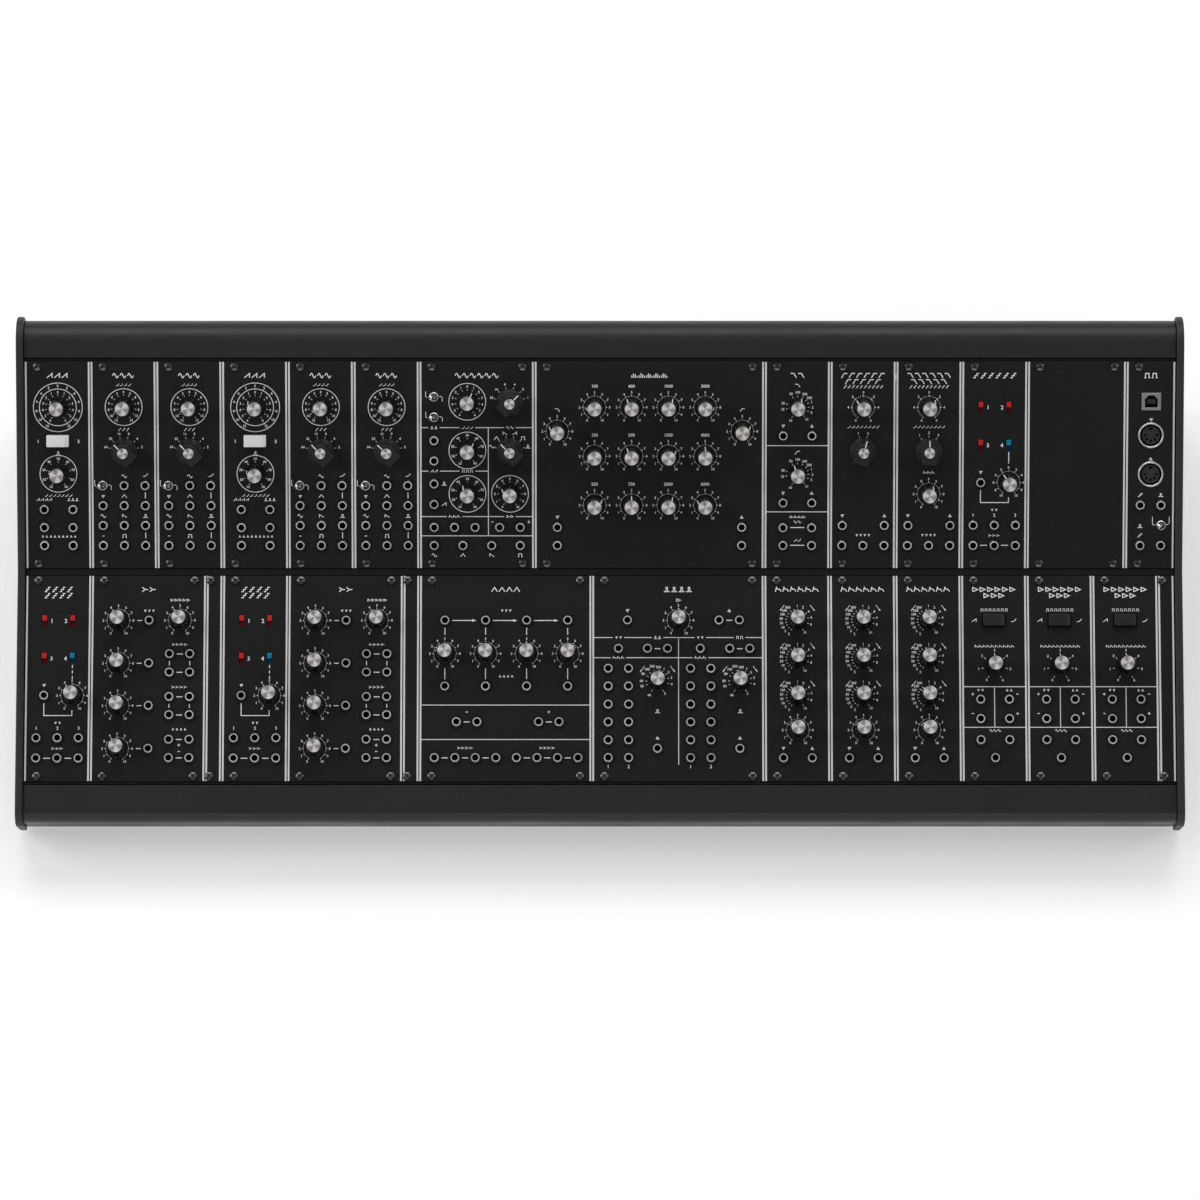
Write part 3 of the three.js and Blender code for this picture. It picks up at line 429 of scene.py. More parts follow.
def lathe(rings, sides, closed=False):
    """A body turned about Z from (radius, height) rings, lowest first, each with its form as a third value
    where it isn't round. A closed profile is a tube's, and its last ring joins its first."""
    points = []
    loops = []
    for radius, height, *form in rings:
        loop = []
        for i in range(sides if radius else 1):
            angle = math.tau * i / sides
            reach = radius * (form[0](angle) if form else 1)
            loop.append(len(points))
            points.append(Vector((reach * math.sin(angle), reach * math.cos(angle), height)))
        loops.append(loop * sides if len(loop) == 1 else loop)
    faces = []
    turns = []
    pairs = list(zip(loops, loops[1:] + loops[:1]))
    for level, (low, high) in enumerate(pairs if closed else pairs[:-1]):
        for i in range(sides):
            after = (i + 1) % sides
            corners = {
                low[i]: (i, level),
                low[after]: (i + 1, level),
                high[after]: (i + 1, level + 1),
                high[i]: (i, level + 1),
            }
            faces.append(tuple(corners))
            turns.append([(turn / sides, rise / len(rings)) for turn, rise in corners.values()])
    return points, faces, turns


def offset(path, distance, closed=True):
    """A path moved to its left, with mitred corners. Round a solid anticlockwise, that is inwards."""
    edges = [(end - start).normalized() for start, end in zip(path, path[1:] + path[:1])]
    if not closed:
        edges[-1] = edges[-2]
    moved = []
    for i, point in enumerate(path):
        before = edges[i - 1] if closed or i else edges[0]
        after = edges[i]
        first = Vector((-before.y, before.x))
        second = Vector((-after.y, after.x))
        moved.append(point + (first + second) * distance / (1 + first.dot(second)))
    return moved


def sheet(outlines, low, high, edge=0):
    """A flat sheet with holes. The first outline runs anticlockwise, the holes' outlines clockwise."""
    upper = [offset(outline, edge) for outline in outlines] if edge else outlines
    shoulder = [(outlines, high - edge)] if edge else []
    layers = [(outlines, low), *shoulder, (upper, high)]
    points = [Vector((x, y, height)) for loops, height in layers for loop in loops for x, y in loop]
    count = sum(len(outline) for outline in outlines)
    top = (len(layers) - 1) * count
    faces = []
    start = 0
    for outline in outlines:
        for i in range(len(outline)):
            here = start + i
            after = start + (i + 1) % len(outline)
            for base in range(0, top, count):
                faces.append((here + base, after + base, after + base + count, here + base + count))
        start += len(outline)
    for loops, base in ((outlines, 0), (upper, top)):
        flat = [[point.to_3d() for point in loop] for loop in loops]
        faces += [tuple(corner + base for corner in triangle) for triangle in tessellate_polygon(flat)]
    return points, faces


def stroke(path, width, closed=False):
    """A printed line along a path."""
    left = offset(path, width / 2, closed)
    right = offset(path, -width / 2, closed)
    points = []
    for a, b in zip(left, right):
        points += [(*a, -PRINT_SINK), (*a, PRINT_RISE), (*b, PRINT_RISE), (*b, -PRINT_SINK)]
    faces = []
    for i in range(len(path) if closed else len(path) - 1):
        here = 4 * i
        after = 4 * ((i + 1) % len(path))
        for side in range(4):
            on = (side + 1) % 4
            faces.append((here + side, after + side, after + on, here + on))
    if not closed:
        last = 4 * (len(path) - 1)
        faces += [(0, 1, 2, 3), (last, last + 1, last + 2, last + 3)]
    return [Vector(point) for point in points], faces


def bevelled(work, edges, width, steps):
    bmesh.ops.bevel(work, geom=edges, offset=width, segments=steps, profile=ROUND_PROFILE, affect="EDGES")


def softened(points, faces, edge):
    """A solid with every edge rounded off."""
    work = bmesh.new()
    corners = [work.verts.new(point) for point in points]
    for face in faces:
        work.faces.new([corners[i] for i in face])
    bmesh.ops.recalc_face_normals(work, faces=work.faces)
    bevelled(work, work.edges[:], edge, EDGE_STEPS)
    work.verts.ensure_lookup_table()
    soft_points = [vertex.co.copy() for vertex in work.verts]
    soft_faces = [tuple(vertex.index for vertex in face.verts) for face in work.faces]
    work.free()
    return soft_points, soft_faces


def drawn(outline, half_width):
    """An (x, z) outline, drawn along Y to both sides."""
    points = [Vector((x, side * half_width, z)) for side in (-1, 1) for x, z in outline]
    count = len(outline)
    faces = [tuple(range(count)), tuple(range(count, 2 * count))]
    faces += [(i, (i + 1) % count, (i + 1) % count + count, i + count) for i in range(count)]
    return points, faces


def box(low, high):
    (left, front, bottom), (right, back, top) = low, high
    outline = [(left, bottom), (right, bottom), (right, top), (left, top)]
    points, faces = drawn(outline, (back - front) / 2)
    middle = Vector((0, (front + back) / 2, 0))
    return [point + middle for point in points], faces


# Outlines, as lists of [x, y]


def circle(radius, sides, centre=(0, 0)):
    """Anticlockwise."""
    angles = [math.tau * i / sides for i in range(sides)]
    return [Vector((centre[0] + radius * math.cos(a), centre[1] + radius * math.sin(a))) for a in angles]


def rectangle(width, height, centre=(0, 0)):
    """Anticlockwise."""
    corners = [(-1, -1), (1, -1), (1, 1), (-1, 1)]
    return [Vector((centre[0] + x * width / 2, centre[1] + y * height / 2)) for x, y in corners]


def hole(outline):
    return outline[::-1]


def bearing(centre, radius, degrees):
    """The point at a radius from a centre, at degrees clockwise from straight up."""
    angle = math.radians(degrees)
    return Vector((centre[0] + radius * math.sin(angle), centre[1] + radius * math.cos(angle)))


# Shapes that aren't round, as shares of a ring's radius at an angle


def fluted(angle):
    return 1 - KNOB_FLUTE_SHARE * (1 + math.cos(KNOB_FLUTES * angle)) / 2


def knurled(angle):
    return 1 - NUT_KNURL_SHARE * (1 + math.cos(NUT_KNURLS * angle)) / 2


def hexagonal(angle):
    sixth = math.tau / 6
    return math.cos(sixth / 2) / math.cos(angle % sixth - sixth / 2)


# Lettering, all of it plain numbers


@cache
def lettering(text, height):
    """A number as a closed solid, centred, on the printing's level."""
    curve = bpy.data.curves.new("number", "FONT")
    curve.body = text
    curve.align_x = "CENTER"
    curve.align_y = "CENTER"
    curve.resolution_u = LETTER_RESOLUTION
    curve.offset = BOLDNESS
    curve.extrude = (PRINT_SINK + PRINT_RISE) / 2
    writer = bpy.data.objects.new("number", curve)
    mesh = bpy.data.meshes.new_from_object(writer)
    work = bmesh.new()
    work.from_mesh(mesh)
    bmesh.ops.remove_doubles(work, verts=work.verts, dist=WELD_DISTANCE)
    ys = [vertex.co.y for vertex in work.verts]
    scale = height / (max(ys) - min(ys))
    middle = (max(ys) + min(ys)) / 2
    level = (PRINT_RISE - PRINT_SINK) / 2
    points = [Vector((v.co.x * scale, (v.co.y - middle) * scale, v.co.z + level)) for v in work.verts]
    faces = [tuple(vertex.index for vertex in face.verts) for face in work.faces]
    work.free()
    bpy.data.objects.remove(writer)
    bpy.data.meshes.remove(mesh)
    bpy.data.curves.remove(curve)
    return points, faces


# Symbols, as strokes in shares of their half width and half height

SINE_STEPS = 12

SYMBOL_SHARES = {
    "sine": [[(2 * i / SINE_STEPS - 1, math.sin(math.tau * i / SINE_STEPS)) for i in range(SINE_STEPS + 1)]],
    "triangle": [[(-1, -1), (0, 1), (1, -1)]],
    "saw": [[(-0.8, -1), (-0.8, 1), (1, -1)]],
    "ramp": [[(-1, -1), (0.8, 1), (0.8, -1)]],
    "square": [[(-1, -1), (-0.6, -1), (-0.6, 1), (0.6, 1), (0.6, -1), (1, -1)]],
    "pulse": [[(-1, -1), (-0.25, -1), (-0.25, 1), (0.25, 1), (0.25, -1), (1, -1)]],
    "low_pass": [[(-1, 1), (0.1, 1), (1, -1)]],
    "high_pass": [[(-1, -1), (-0.1, 1), (1, 1)]],
    "steps": [[(-1, -1), (-0.33, -1), (-0.33, 0), (0.33, 0), (0.33, 1), (1, 1)]],
    "envelope": [[(-1, -1), (-0.6, 1), (-0.2, 0.1), (0.5, 0.1), (1, -1)]],
    "join": [[(-1, 1), (0, 0), (1, 0)], [(-1, -1), (0, 0)]],
    "amplifier": [[(-0.8, -1), (-0.8, 1), (0.9, 0), (-0.8, -1)]],
    "bars": [[(x, -1), (x, top)] for x, top in ((-0.9, 0.2), (-0.3, 1), (0.3, 0.6), (0.9, -0.1))],
    "curve": [[(-1, -1), (-0.2, -0.8), (0.5, -0.2), (1, 1)]],
    "in": [[(-0.55, 0.7), (0.55, 0.7), (0, -0.7), (-0.55, 0.7)]],
    "out": [[(-0.55, -0.7), (0.55, -0.7), (0, 0.7), (-0.55, -0.7)]],
    "plus": [[(-0.5, 0), (0.5, 0)], [(0, -0.85), (0, 0.85)]],
    "minus": [[(-0.5, 0), (0.5, 0)]],
}


# Scales: the labels with their bearings, and what is drawn with them


def numbers(*span):
    return [str(number) for number in range(*span)]


def spread_labels(labels):
    """Labels in even steps over a dial's sweep."""
    first = -DIAL_SWEEP / 2
    step = DIAL_SWEEP / (len(labels) - 1)
    return [(label, first + step * i) for i, label in enumerate(labels)]


def mirrored(labels):
    """Labels that count down to the first one and up again."""
    return labels[:0:-1] + labels


TENS = spread_labels(numbers(11))
SIGNED_TENS = spread_labels(mirrored(numbers(0, 11, 2)))
HALVES = spread_labels(mirrored(numbers(0, 13, 2)))
SIXES = spread_labels(mirrored(numbers(7)))
PERCENTS = spread_labels(numbers(10, 100, 10))
SEVEN = spread_labels(numbers(7))
TIMES = [
    ("2", -148), ("5", -132), ("10", -116), ("20", -100), ("50", -84), ("100", -68), ("200", -52),
    ("500", -36), ("1", 0), ("2", 24), ("4", 52), ("6", 78), ("8", 107), ("10", 149),
]
LONG_TIMES = [
    ("40", -149), ("50", -107), ("60", -88), ("80", -62), ("100", -41), ("250", -19), ("500", 4),
    ("1", 27), ("2", 50), ("3", 75), ("4", 101), ("5", 149),
]
FREQUENCIES = [
    ("10", -152), ("15", -98), ("20", -74), ("50", -26), ("100", 0), ("200", 28), ("500", 51),
    ("1", 69), ("2", 90), ("5", 111), ("10", 143),
]
VOLTS = [("6", -150), ("4", -90), ("2", -45), ("0", 0), ("2", 45), ("4", 90), ("6", 150)]
VOLT_STEP_DEGREES = 11.25
TIME_SCALE = {"label_radii": TIME_LABEL_RADII, "tick_radii": TIME_TICK_RADII, "range_arrows": True}
LONG_SCALE = {"label_radii": LONG_LABEL_RADII, "tick_radii": LONG_TICK_RADII}

DIALS = {
    "tens": {"labels": TENS},
    "signed_tens": {"labels": SIGNED_TENS},
    "ringed_tens": {"labels": TENS, "ringed": True},
    "halves": {"labels": HALVES, "ringed": True},
    "sixes": {"labels": SIXES, "ringed": True},
    "percents": {"labels": PERCENTS, "ringed": True},
    "double": {"labels": SIXES, "ringed": True, "outer_labels": HALVES},
    "frequencies": {"labels": FREQUENCIES, "tick_radii": TIME_TICK_RADII},
    "volts": {"labels": VOLTS, "tick_radii": VOLT_TICK_RADII, "minor_step": VOLT_STEP_DEGREES},
    "times": {"labels": TIMES, **TIME_SCALE},
    "long_times": {"labels": LONG_TIMES, **TIME_SCALE},
    "seven": {"labels": SEVEN, **LONG_SCALE},
}

SELECTOR_STEP = 30
SELECTOR_DIALS = {
    "ranges": ["64", "32", "16", "8", "4", "2"],
    "octaves": ["32", "16", "8", "4", "2", "1"],
    "waves": ["sine", "triangle", "saw", "ramp", "square", "pulse"],
    "pair": ["1", "2"],
    "trio": ["1", "2", "3"],
}


# Kinds of module. A place is (share of the module's width from its left, share of its height from its head).
# A field of sockets is its columns and its rows. A knob or selector has its scale, and where it points in
# degrees clockwise from straight up. A mark has its name, a caption also its symbols' count, then its place.


def chain_shares(columns, *rows):
    """Lines along rows, from each column to the next."""
    return [((start, row), (end, row)) for row in rows for start, end in zip(columns, columns[1:])]


PAIR_SHARES = LEFT_SHARE, RIGHT_SHARE = (0.287, 0.723)
MIDDLE_SHARE = 0.505
TRIPLE_SHARES = (0.183, MIDDLE_SHARE, 0.827)
FOOT_SHARE = 0.888
WIDTH_SHARES = (0, 1)
TITLE_MIDDLE_SHARE = 0.5
TITLE_SHARE = 0.068
TITLE_LINE_SHARE = 0.03

DRIVER = {
    "slots": 8,
    "title": ("ramp", 3),
    "knob_shares": [(MIDDLE_SHARE, 0.221), (MIDDLE_SHARE, 0.542)],
    "knobs": [("double", -50), ("percents", -72)],
    "rocker_shares": [(0.5, 0.383)],
    "rocker_finish": "rocker_white",
    "jack_shares": [(PAIR_SHARES, (0.714, 0.801, FOOT_SHARE))],
    "number_shares": [("1", 0.2, 0.385), ("2", 0.815, 0.385)],
    "symbol_shares": [("pulse", MIDDLE_SHARE, 0.443)],
    "caption_shares": [
        ("curve", 7, MIDDLE_SHARE, 0.646), ("ramp", 4, LEFT_SHARE, 0.667), ("pulse", 3, RIGHT_SHARE, 0.667),
        ("out", 9, MIDDLE_SHARE, 0.845),
    ],
}

OSCILLATOR = {
    "slots": 8,
    "title": ("sine", 3),
    "knob_shares": [(MIDDLE_SHARE, 0.22)],
    "knobs": [("halves", -110)],
    "selector_shares": [(MIDDLE_SHARE, 0.436)],
    "selectors": [("ranges", -45)],
    "toggle_shares": [(0.18, 0.598)],
    "toggle_guides": OPPOSED_GUIDES,
    "jack_shares": [((MIDDLE_SHARE, 0.823), (0.598,)), (TRIPLE_SHARES, (0.695, 0.791, FOOT_SHARE))],
    "symbol_shares": [
        ("sine", MIDDLE_SHARE, 0.554), ("triangle", MIDDLE_SHARE, 0.65), ("saw", MIDDLE_SHARE, 0.746),
        ("square", MIDDLE_SHARE, 0.843), ("in", 0.183, 0.652), ("sine", 0.183, 0.746),
        ("minus", 0.183, 0.843), ("curve", 0.827, 0.548), ("pulse", 0.827, 0.746),
    ],
    "caption_shares": [("curve", 4, MIDDLE_SHARE, 0.112), ("steps", 3, MIDDLE_SHARE, 0.328)],
    "link_shares": [((0.825, 0.598), (0.827, 0.695)), ((0.827, 0.791), (0.827, FOOT_SHARE))],
}

VOLTAGE_OSCILLATOR = {
    "slots": 14,
    "title": ("sine", 6),
    "knob_shares": [(0.418, 0.194), (0.418, 0.429), (0.418, 0.639), (0.788, 0.639)],
    "knobs": [("sixes", 28), ("percents", 40), ("percents", -30), ("ringed_tens", -60)],
    "selector_shares": [(0.787, 0.198), (0.787, 0.434)],
    "selectors": [("octaves", 45), ("waves", -45)],
    "toggle_shares": [(0.128, 0.17), (0.128, 0.268)],
    "toggle_guides": OPPOSED_GUIDES,
    "jack_shares": [
        ((0.128,), (0.381, 0.479, 0.59, 0.689)), ((0.128, 0.305, 0.484, 0.698, 0.877), (0.8,)),
        ((0.128, 0.378, 0.628, 0.877), (FOOT_SHARE,)),
    ],
    "section_shares": [*chain_shares(WIDTH_SHARES, 0.842), ((0.6, 0.319), (0.6, 0.842))],
    "captioned_section_shares": [
        (0, 1, 0.319, [("pulse", 2, 0.128), ("curve", 3, 0.418), ("sine", 2, 0.788)]),
        (0, 0.6, 0.529, [("ramp", 2, 0.128), ("square", 3, 0.418)]),
        (0, 1, 0.749, [("envelope", 3, 0.305), ("amplifier", 2, 0.788)]),
    ],
    "symbol_shares": [
        ("sine", 0.128, 0.936), ("triangle", 0.378, 0.936), ("saw", 0.628, 0.936), ("square", 0.877, 0.936),
        ("minus", 0.634, 0.775), ("plus", 0.952, 0.775), ("pulse", 0.215, 0.59), ("ramp", 0.215, 0.689),
    ],
}

BANK_COLUMN_SHARES = (0.262, 0.423, 0.583, 0.743)
BANK_ROW_SHARES = (0.221, 0.457, 0.694)
BANK_NUMBERS = ("100", "400", "1000", "3000", "150", "500", "1500", "4000", "250", "700", "2000", "6000")
BANK_POINTERS = (-93, -30, 28, 92, -120, -30, 55, 0, 55, 0, 28, -60, -60, 60)
BANK_NUMBER_RISE_SHARE = 0.102
BANK_SHARES = [(column, row) for row in BANK_ROW_SHARES for column in BANK_COLUMN_SHARES]

FILTER_BANK = {
    "slots": 28,
    "title": ("bars", 5),
    "knob_shares": [*BANK_SHARES, (0.1, 0.337), (0.904, 0.337)],
    "knobs": [("tens", pointer) for pointer in BANK_POINTERS],
    "jack_shares": [((0.1, 0.902), (0.8, FOOT_SHARE))],
    "number_shares": [
        (number, column, row - BANK_NUMBER_RISE_SHARE)
        for number, (column, row) in zip(BANK_NUMBERS, BANK_SHARES)
    ],
    "symbol_shares": [
        ("low_pass", 0.1, 0.235), ("high_pass", 0.904, 0.235), ("in", 0.1, 0.752), ("out", 0.902, 0.752),
    ],
}

FILTERS = {
    "slots": 8,
    "title": ("low_pass", 2),
    "knob_shares": [(MIDDLE_SHARE, 0.221), (MIDDLE_SHARE, 0.545)],
    "knobs": [("frequencies", 25), ("frequencies", -20)],
    "jack_shares": [(PAIR_SHARES, (0.358,)), (PAIR_SHARES, (0.682, 0.802, FOOT_SHARE))],
    "section_shares": chain_shares(WIDTH_SHARES, 0.406, 0.726),
    "symbol_shares": [
        ("low_pass", MIDDLE_SHARE, 0.117), ("high_pass", MIDDLE_SHARE, 0.441), ("in", LEFT_SHARE, 0.312),
        ("out", RIGHT_SHARE, 0.312), ("in", LEFT_SHARE, 0.636), ("out", RIGHT_SHARE, 0.636),
    ],
    "caption_shares": [
        ("bars", 4, MIDDLE_SHARE, 0.75), ("sine", 2, MIDDLE_SHARE, 0.775), ("curve", 2, MIDDLE_SHARE, 0.863),
    ],
    "link_shares": chain_shares(PAIR_SHARES, 0.802, FOOT_SHARE),
}

HIGH_PASS_FILTER = {
    "slots": 8,
    "title": ("high_pass", 6, 5),
    "knob_shares": [(MIDDLE_SHARE, 0.221)],
    "knobs": [("volts", -45)],
    "selector_shares": [(MIDDLE_SHARE, 0.434)],
    "selectors": [("pair", 15)],
    "jack_shares": [((0.19, 0.83), (0.791,)), (TRIPLE_SHARES, (FOOT_SHARE,))],
    "symbol_shares": [("in", 0.19, 0.745), ("out", 0.83, 0.745)],
    "caption_shares": [
        ("steps", 10, MIDDLE_SHARE, 0.122), ("curve", 8, MIDDLE_SHARE, 0.315), ("in", 4, MIDDLE_SHARE, 0.839),
    ],
}

LOW_PASS_FILTER = {
    **HIGH_PASS_FILTER,
    "title": ("low_pass", 6, 5),
    "knob_shares": [(MIDDLE_SHARE, 0.221), (MIDDLE_SHARE, 0.64)],
    "knobs": [("volts", 42), ("tens", 30)],
    "selectors": [("trio", 0)],
    "caption_shares": [*HIGH_PASS_FILTER["caption_shares"], ("envelope", 3, MIDDLE_SHARE, 0.536)],
}

CONTROL_VOLTAGES = {
    "slots": 8,
    "title": ("steps", 4, 4),
    "knob_shares": [(0.721, 0.584)],
    "knobs": [("tens", -33)],
    "slide_shares": [(0.294, 0.221), (0.72, 0.221), (0.294, 0.404), (0.72, 0.404)],
    "slide_finishes": ["slide_red", "slide_red", "slide_red", "slide_blue"],
    "jack_shares": [((0.294,), (0.584,)), (TRIPLE_SHARES, (0.79, FOOT_SHARE))],
    "large_number_shares": [
        ("1", 0.402, 0.221), ("2", 0.615, 0.221), ("3", 0.402, 0.404), ("4", 0.615, 0.404),
    ],
    "number_shares": [(number, column, 0.742) for number, column in zip(numbers(1, 4), TRIPLE_SHARES)],
    "symbol_shares": [("in", 0.294, 0.535)],
    "caption_shares": [("in", 2, MIDDLE_SHARE, 0.717), ("join", 3, MIDDLE_SHARE, 0.841)],
    "link_shares": chain_shares(TRIPLE_SHARES, FOOT_SHARE),
    "dashed_shares": [((0.721, 0.401), (0.721, 0.584))],
    "wire_shares": [[(0.294, 0.621), (0.294, 0.681), (0.721, 0.681), (0.721, 0.655)]],
}

SIGNED_CONTROL_VOLTAGES = {
    **CONTROL_VOLTAGES,
    "title": ("steps", 6),
    "knobs": [("signed_tens", -33)],
    "dashed_shares": [],
    "wire_shares": [*CONTROL_VOLTAGES["wire_shares"], [(0.721, 0.436), (0.721, 0.492)]],
}

BLANK_PANEL = {"slots": 12}

BUS_INTERFACE = {
    "slots": 6,
    "title": ("square", 2),
    "toggle_shares": [(0.729, 0.79)],
    "toggle_guides": RAISED_GUIDES,
    "data_socket_shares": [(0.513, 0.193)],
    "round_socket_shares": [(0.51, 0.356), (0.51, 0.544)],
    "jack_shares": [((0.303, 0.722), (0.693,)), ((0.303, 0.722), (FOOT_SHARE,))],
    "symbol_shares": [
        ("in", 0.51, 0.281), ("out", 0.51, 0.47), ("steps", 0.303, 0.645), ("pulse", 0.722, 0.645),
        ("steps", 0.303, 0.84), ("pulse", 0.303, 0.795),
    ],
}

MIXER_ROW_SHARES = (0.219, 0.427, 0.633, 0.841)
MIXER_KNOB_SHARE = 0.237
MIXER_COLUMN_SHARES = (0.684, 0.861)
MIXER_PAIR_SHARES = (0.382, 0.471, 0.59, 0.678, 0.797, 0.886)

MIXER = {
    "slots": 14,
    "title": ("join", 2),
    "knob_shares": [*[(MIXER_KNOB_SHARE, row) for row in MIXER_ROW_SHARES], (0.772, 0.218)],
    "knobs": [("tens", -30)] * 5,
    "jack_shares": [((MIDDLE_SHARE,), MIXER_ROW_SHARES), (MIXER_COLUMN_SHARES, MIXER_PAIR_SHARES)],
    "symbol_shares": [("plus", 0.772, 0.824), ("minus", 0.772, 0.855)],
    "caption_shares": [
        ("in", 3, MIDDLE_SHARE, 0.172), ("amplifier", 5, 0.772, 0.12), ("join", 4, 0.772, 0.336),
        ("join", 4, 0.772, 0.543), ("out", 4, 0.772, 0.747),
    ],
    "dial_link_shares": chain_shares((MIXER_KNOB_SHARE, MIDDLE_SHARE), *MIXER_ROW_SHARES),
    "link_shares": [
        *chain_shares(MIXER_COLUMN_SHARES, *MIXER_PAIR_SHARES),
        *[
            ((column, MIXER_PAIR_SHARES[top]), (column, MIXER_PAIR_SHARES[top + 1]))
            for column in MIXER_COLUMN_SHARES for top in (0, 2)
        ],
    ],
}

FILLER = {"slots": 2}

ATTENUATOR_SHARES = (0.148, 0.384, 0.622, 0.86)
IN_SHARE, KNOB_SHARE, OUT_SHARE = (0.219, 0.38, 0.539)
MINUS_SHARES, PLUS_SHARES = ((0.216, 0.335), (0.692, 0.81))
MULTIPLE_SHARES = (0.089, 0.208, 0.326, 0.445, 0.564, 0.683, 0.802, 0.92)

ATTENUATORS = {
    "slots": 21,
    "title": ("triangle", 4),
    "knob_shares": [(column, KNOB_SHARE) for column in ATTENUATOR_SHARES],
    "knobs": [("tens", -75), ("tens", -30), ("tens", 0), ("tens", 55)],
    "jack_shares": [
        (ATTENUATOR_SHARES, (IN_SHARE,)), (ATTENUATOR_SHARES, (OUT_SHARE,)),
        (MINUS_SHARES + PLUS_SHARES, (0.712,)), (MULTIPLE_SHARES, (0.886,)),
    ],
    "section_shares": chain_shares(WIDTH_SHARES, 0.63, 0.797),
    "symbol_shares": [("minus", 0.276, 0.664), ("plus", 0.751, 0.664)],
    "caption_shares": [
        ("in", 3, 0.503, 0.171), ("out", 4, 0.503, 0.49),
        ("join", 4, 0.267, 0.838), ("join", 4, 0.742, 0.838),
    ],
    "arrow_shares": chain_shares(ATTENUATOR_SHARES, IN_SHARE),
    "dial_link_shares": [((column, KNOB_SHARE), (column, IN_SHARE)) for column in ATTENUATOR_SHARES],
    "dial_foot_link_shares": [((column, KNOB_SHARE), (column, OUT_SHARE)) for column in ATTENUATOR_SHARES],
    "link_shares": [
        *chain_shares(MINUS_SHARES, 0.712), *chain_shares(PLUS_SHARES, 0.712),
        *chain_shares(MULTIPLE_SHARES[:4], 0.886), *chain_shares(MULTIPLE_SHARES[4:], 0.886),
    ],
}

TRIGGER_COLUMN_SHARES = ((0.095, 0.213), (0.572, 0.69))
TRIGGER_ROW_SHARES = (0.453, 0.539, 0.627, 0.713, 0.8, 0.886)

TRIGGER_INTERFACE = {
    "slots": 21,
    "title": ("pulse", 4),
    "knob_shares": [(0.503, 0.218), (0.381, 0.515), (0.86, 0.515)],
    "knobs": [("tens", 0), ("long_times", 15), ("long_times", -20)],
    "jack_shares": [
        ((0.207, 0.738, 0.856), (0.218,)), ((0.155, 0.323, 0.439, 0.629, 0.8, 0.916), (0.356,)),
        *[(columns, TRIGGER_ROW_SHARES) for columns in TRIGGER_COLUMN_SHARES], ((0.38, 0.857), (0.841,)),
    ],
    "section_shares": [((0.503, 0.302), (0.503, 0.919))],
    "captioned_section_shares": [
        (0, 1, 0.302, [("in", 2, 0.155), ("pulse", 2, 0.381), ("in", 2, 0.629), ("square", 2, 0.857)]),
        (0, 1, 0.4, [("envelope", 3, 0.155), ("envelope", 3, 0.629)]),
    ],
    "number_shares": [
        (number, column, 0.928)
        for columns in TRIGGER_COLUMN_SHARES for number, column in zip(numbers(1, 3), columns)
    ],
    "symbol_shares": [
        ("in", 0.207, 0.171), ("out", 0.797, 0.171), ("out", 0.38, 0.79), ("out", 0.857, 0.79),
        ("amplifier", 0.503, 0.12), ("pulse", 0.381, 0.66), ("pulse", 0.86, 0.66),
    ],
    "link_shares": [
        *chain_shares((0.738, 0.856), 0.218), *chain_shares((0.323, 0.439), 0.356),
        *chain_shares((0.8, 0.916), 0.356),
    ],
}

ENVELOPE_GENERATOR = {
    "slots": 8,
    "title": ("envelope", 6),
    "knob_shares": [(MIDDLE_SHARE, row) for row in (0.218, 0.403, 0.586, 0.751)],
    "knobs": [("times", -30), ("times", -30), ("times", -55), ("tens", -60)],
    "jack_shares": [(PAIR_SHARES, (0.887,))],
    "symbol_shares": [("in", LEFT_SHARE, 0.84), ("out", RIGHT_SHARE, 0.84)],
}

AMPLIFIER = {
    "slots": 8,
    "title": ("amplifier", 6, 3),
    "knob_shares": [(MIDDLE_SHARE, 0.441)],
    "knobs": [("seven", -10)],
    "rocker_shares": [(0.5, 0.218)],
    "rocker_finish": "rocker_black",
    "jack_shares": [(PAIR_SHARES, (0.603, 0.697, 0.799)), ((MIDDLE_SHARE,), (0.886,))],
    "section_shares": [*chain_shares(WIDTH_SHARES, 0.541, 0.738), ((0.5, 0.541), (0.5, 0.738))],
    "symbol_shares": [
        ("ramp", 0.2, 0.218), ("curve", 0.8, 0.218), ("plus", 0.168, 0.577), ("minus", 0.168, 0.671),
        ("minus", 0.848, 0.577), ("plus", 0.848, 0.671),
    ],
    "caption_shares": [
        ("square", 7, MIDDLE_SHARE, 0.168), ("envelope", 10, MIDDLE_SHARE, 0.345),
        ("in", 2, LEFT_SHARE, 0.558), ("out", 2, RIGHT_SHARE, 0.558), ("sine", 3, MIDDLE_SHARE, 0.754),
    ],
}

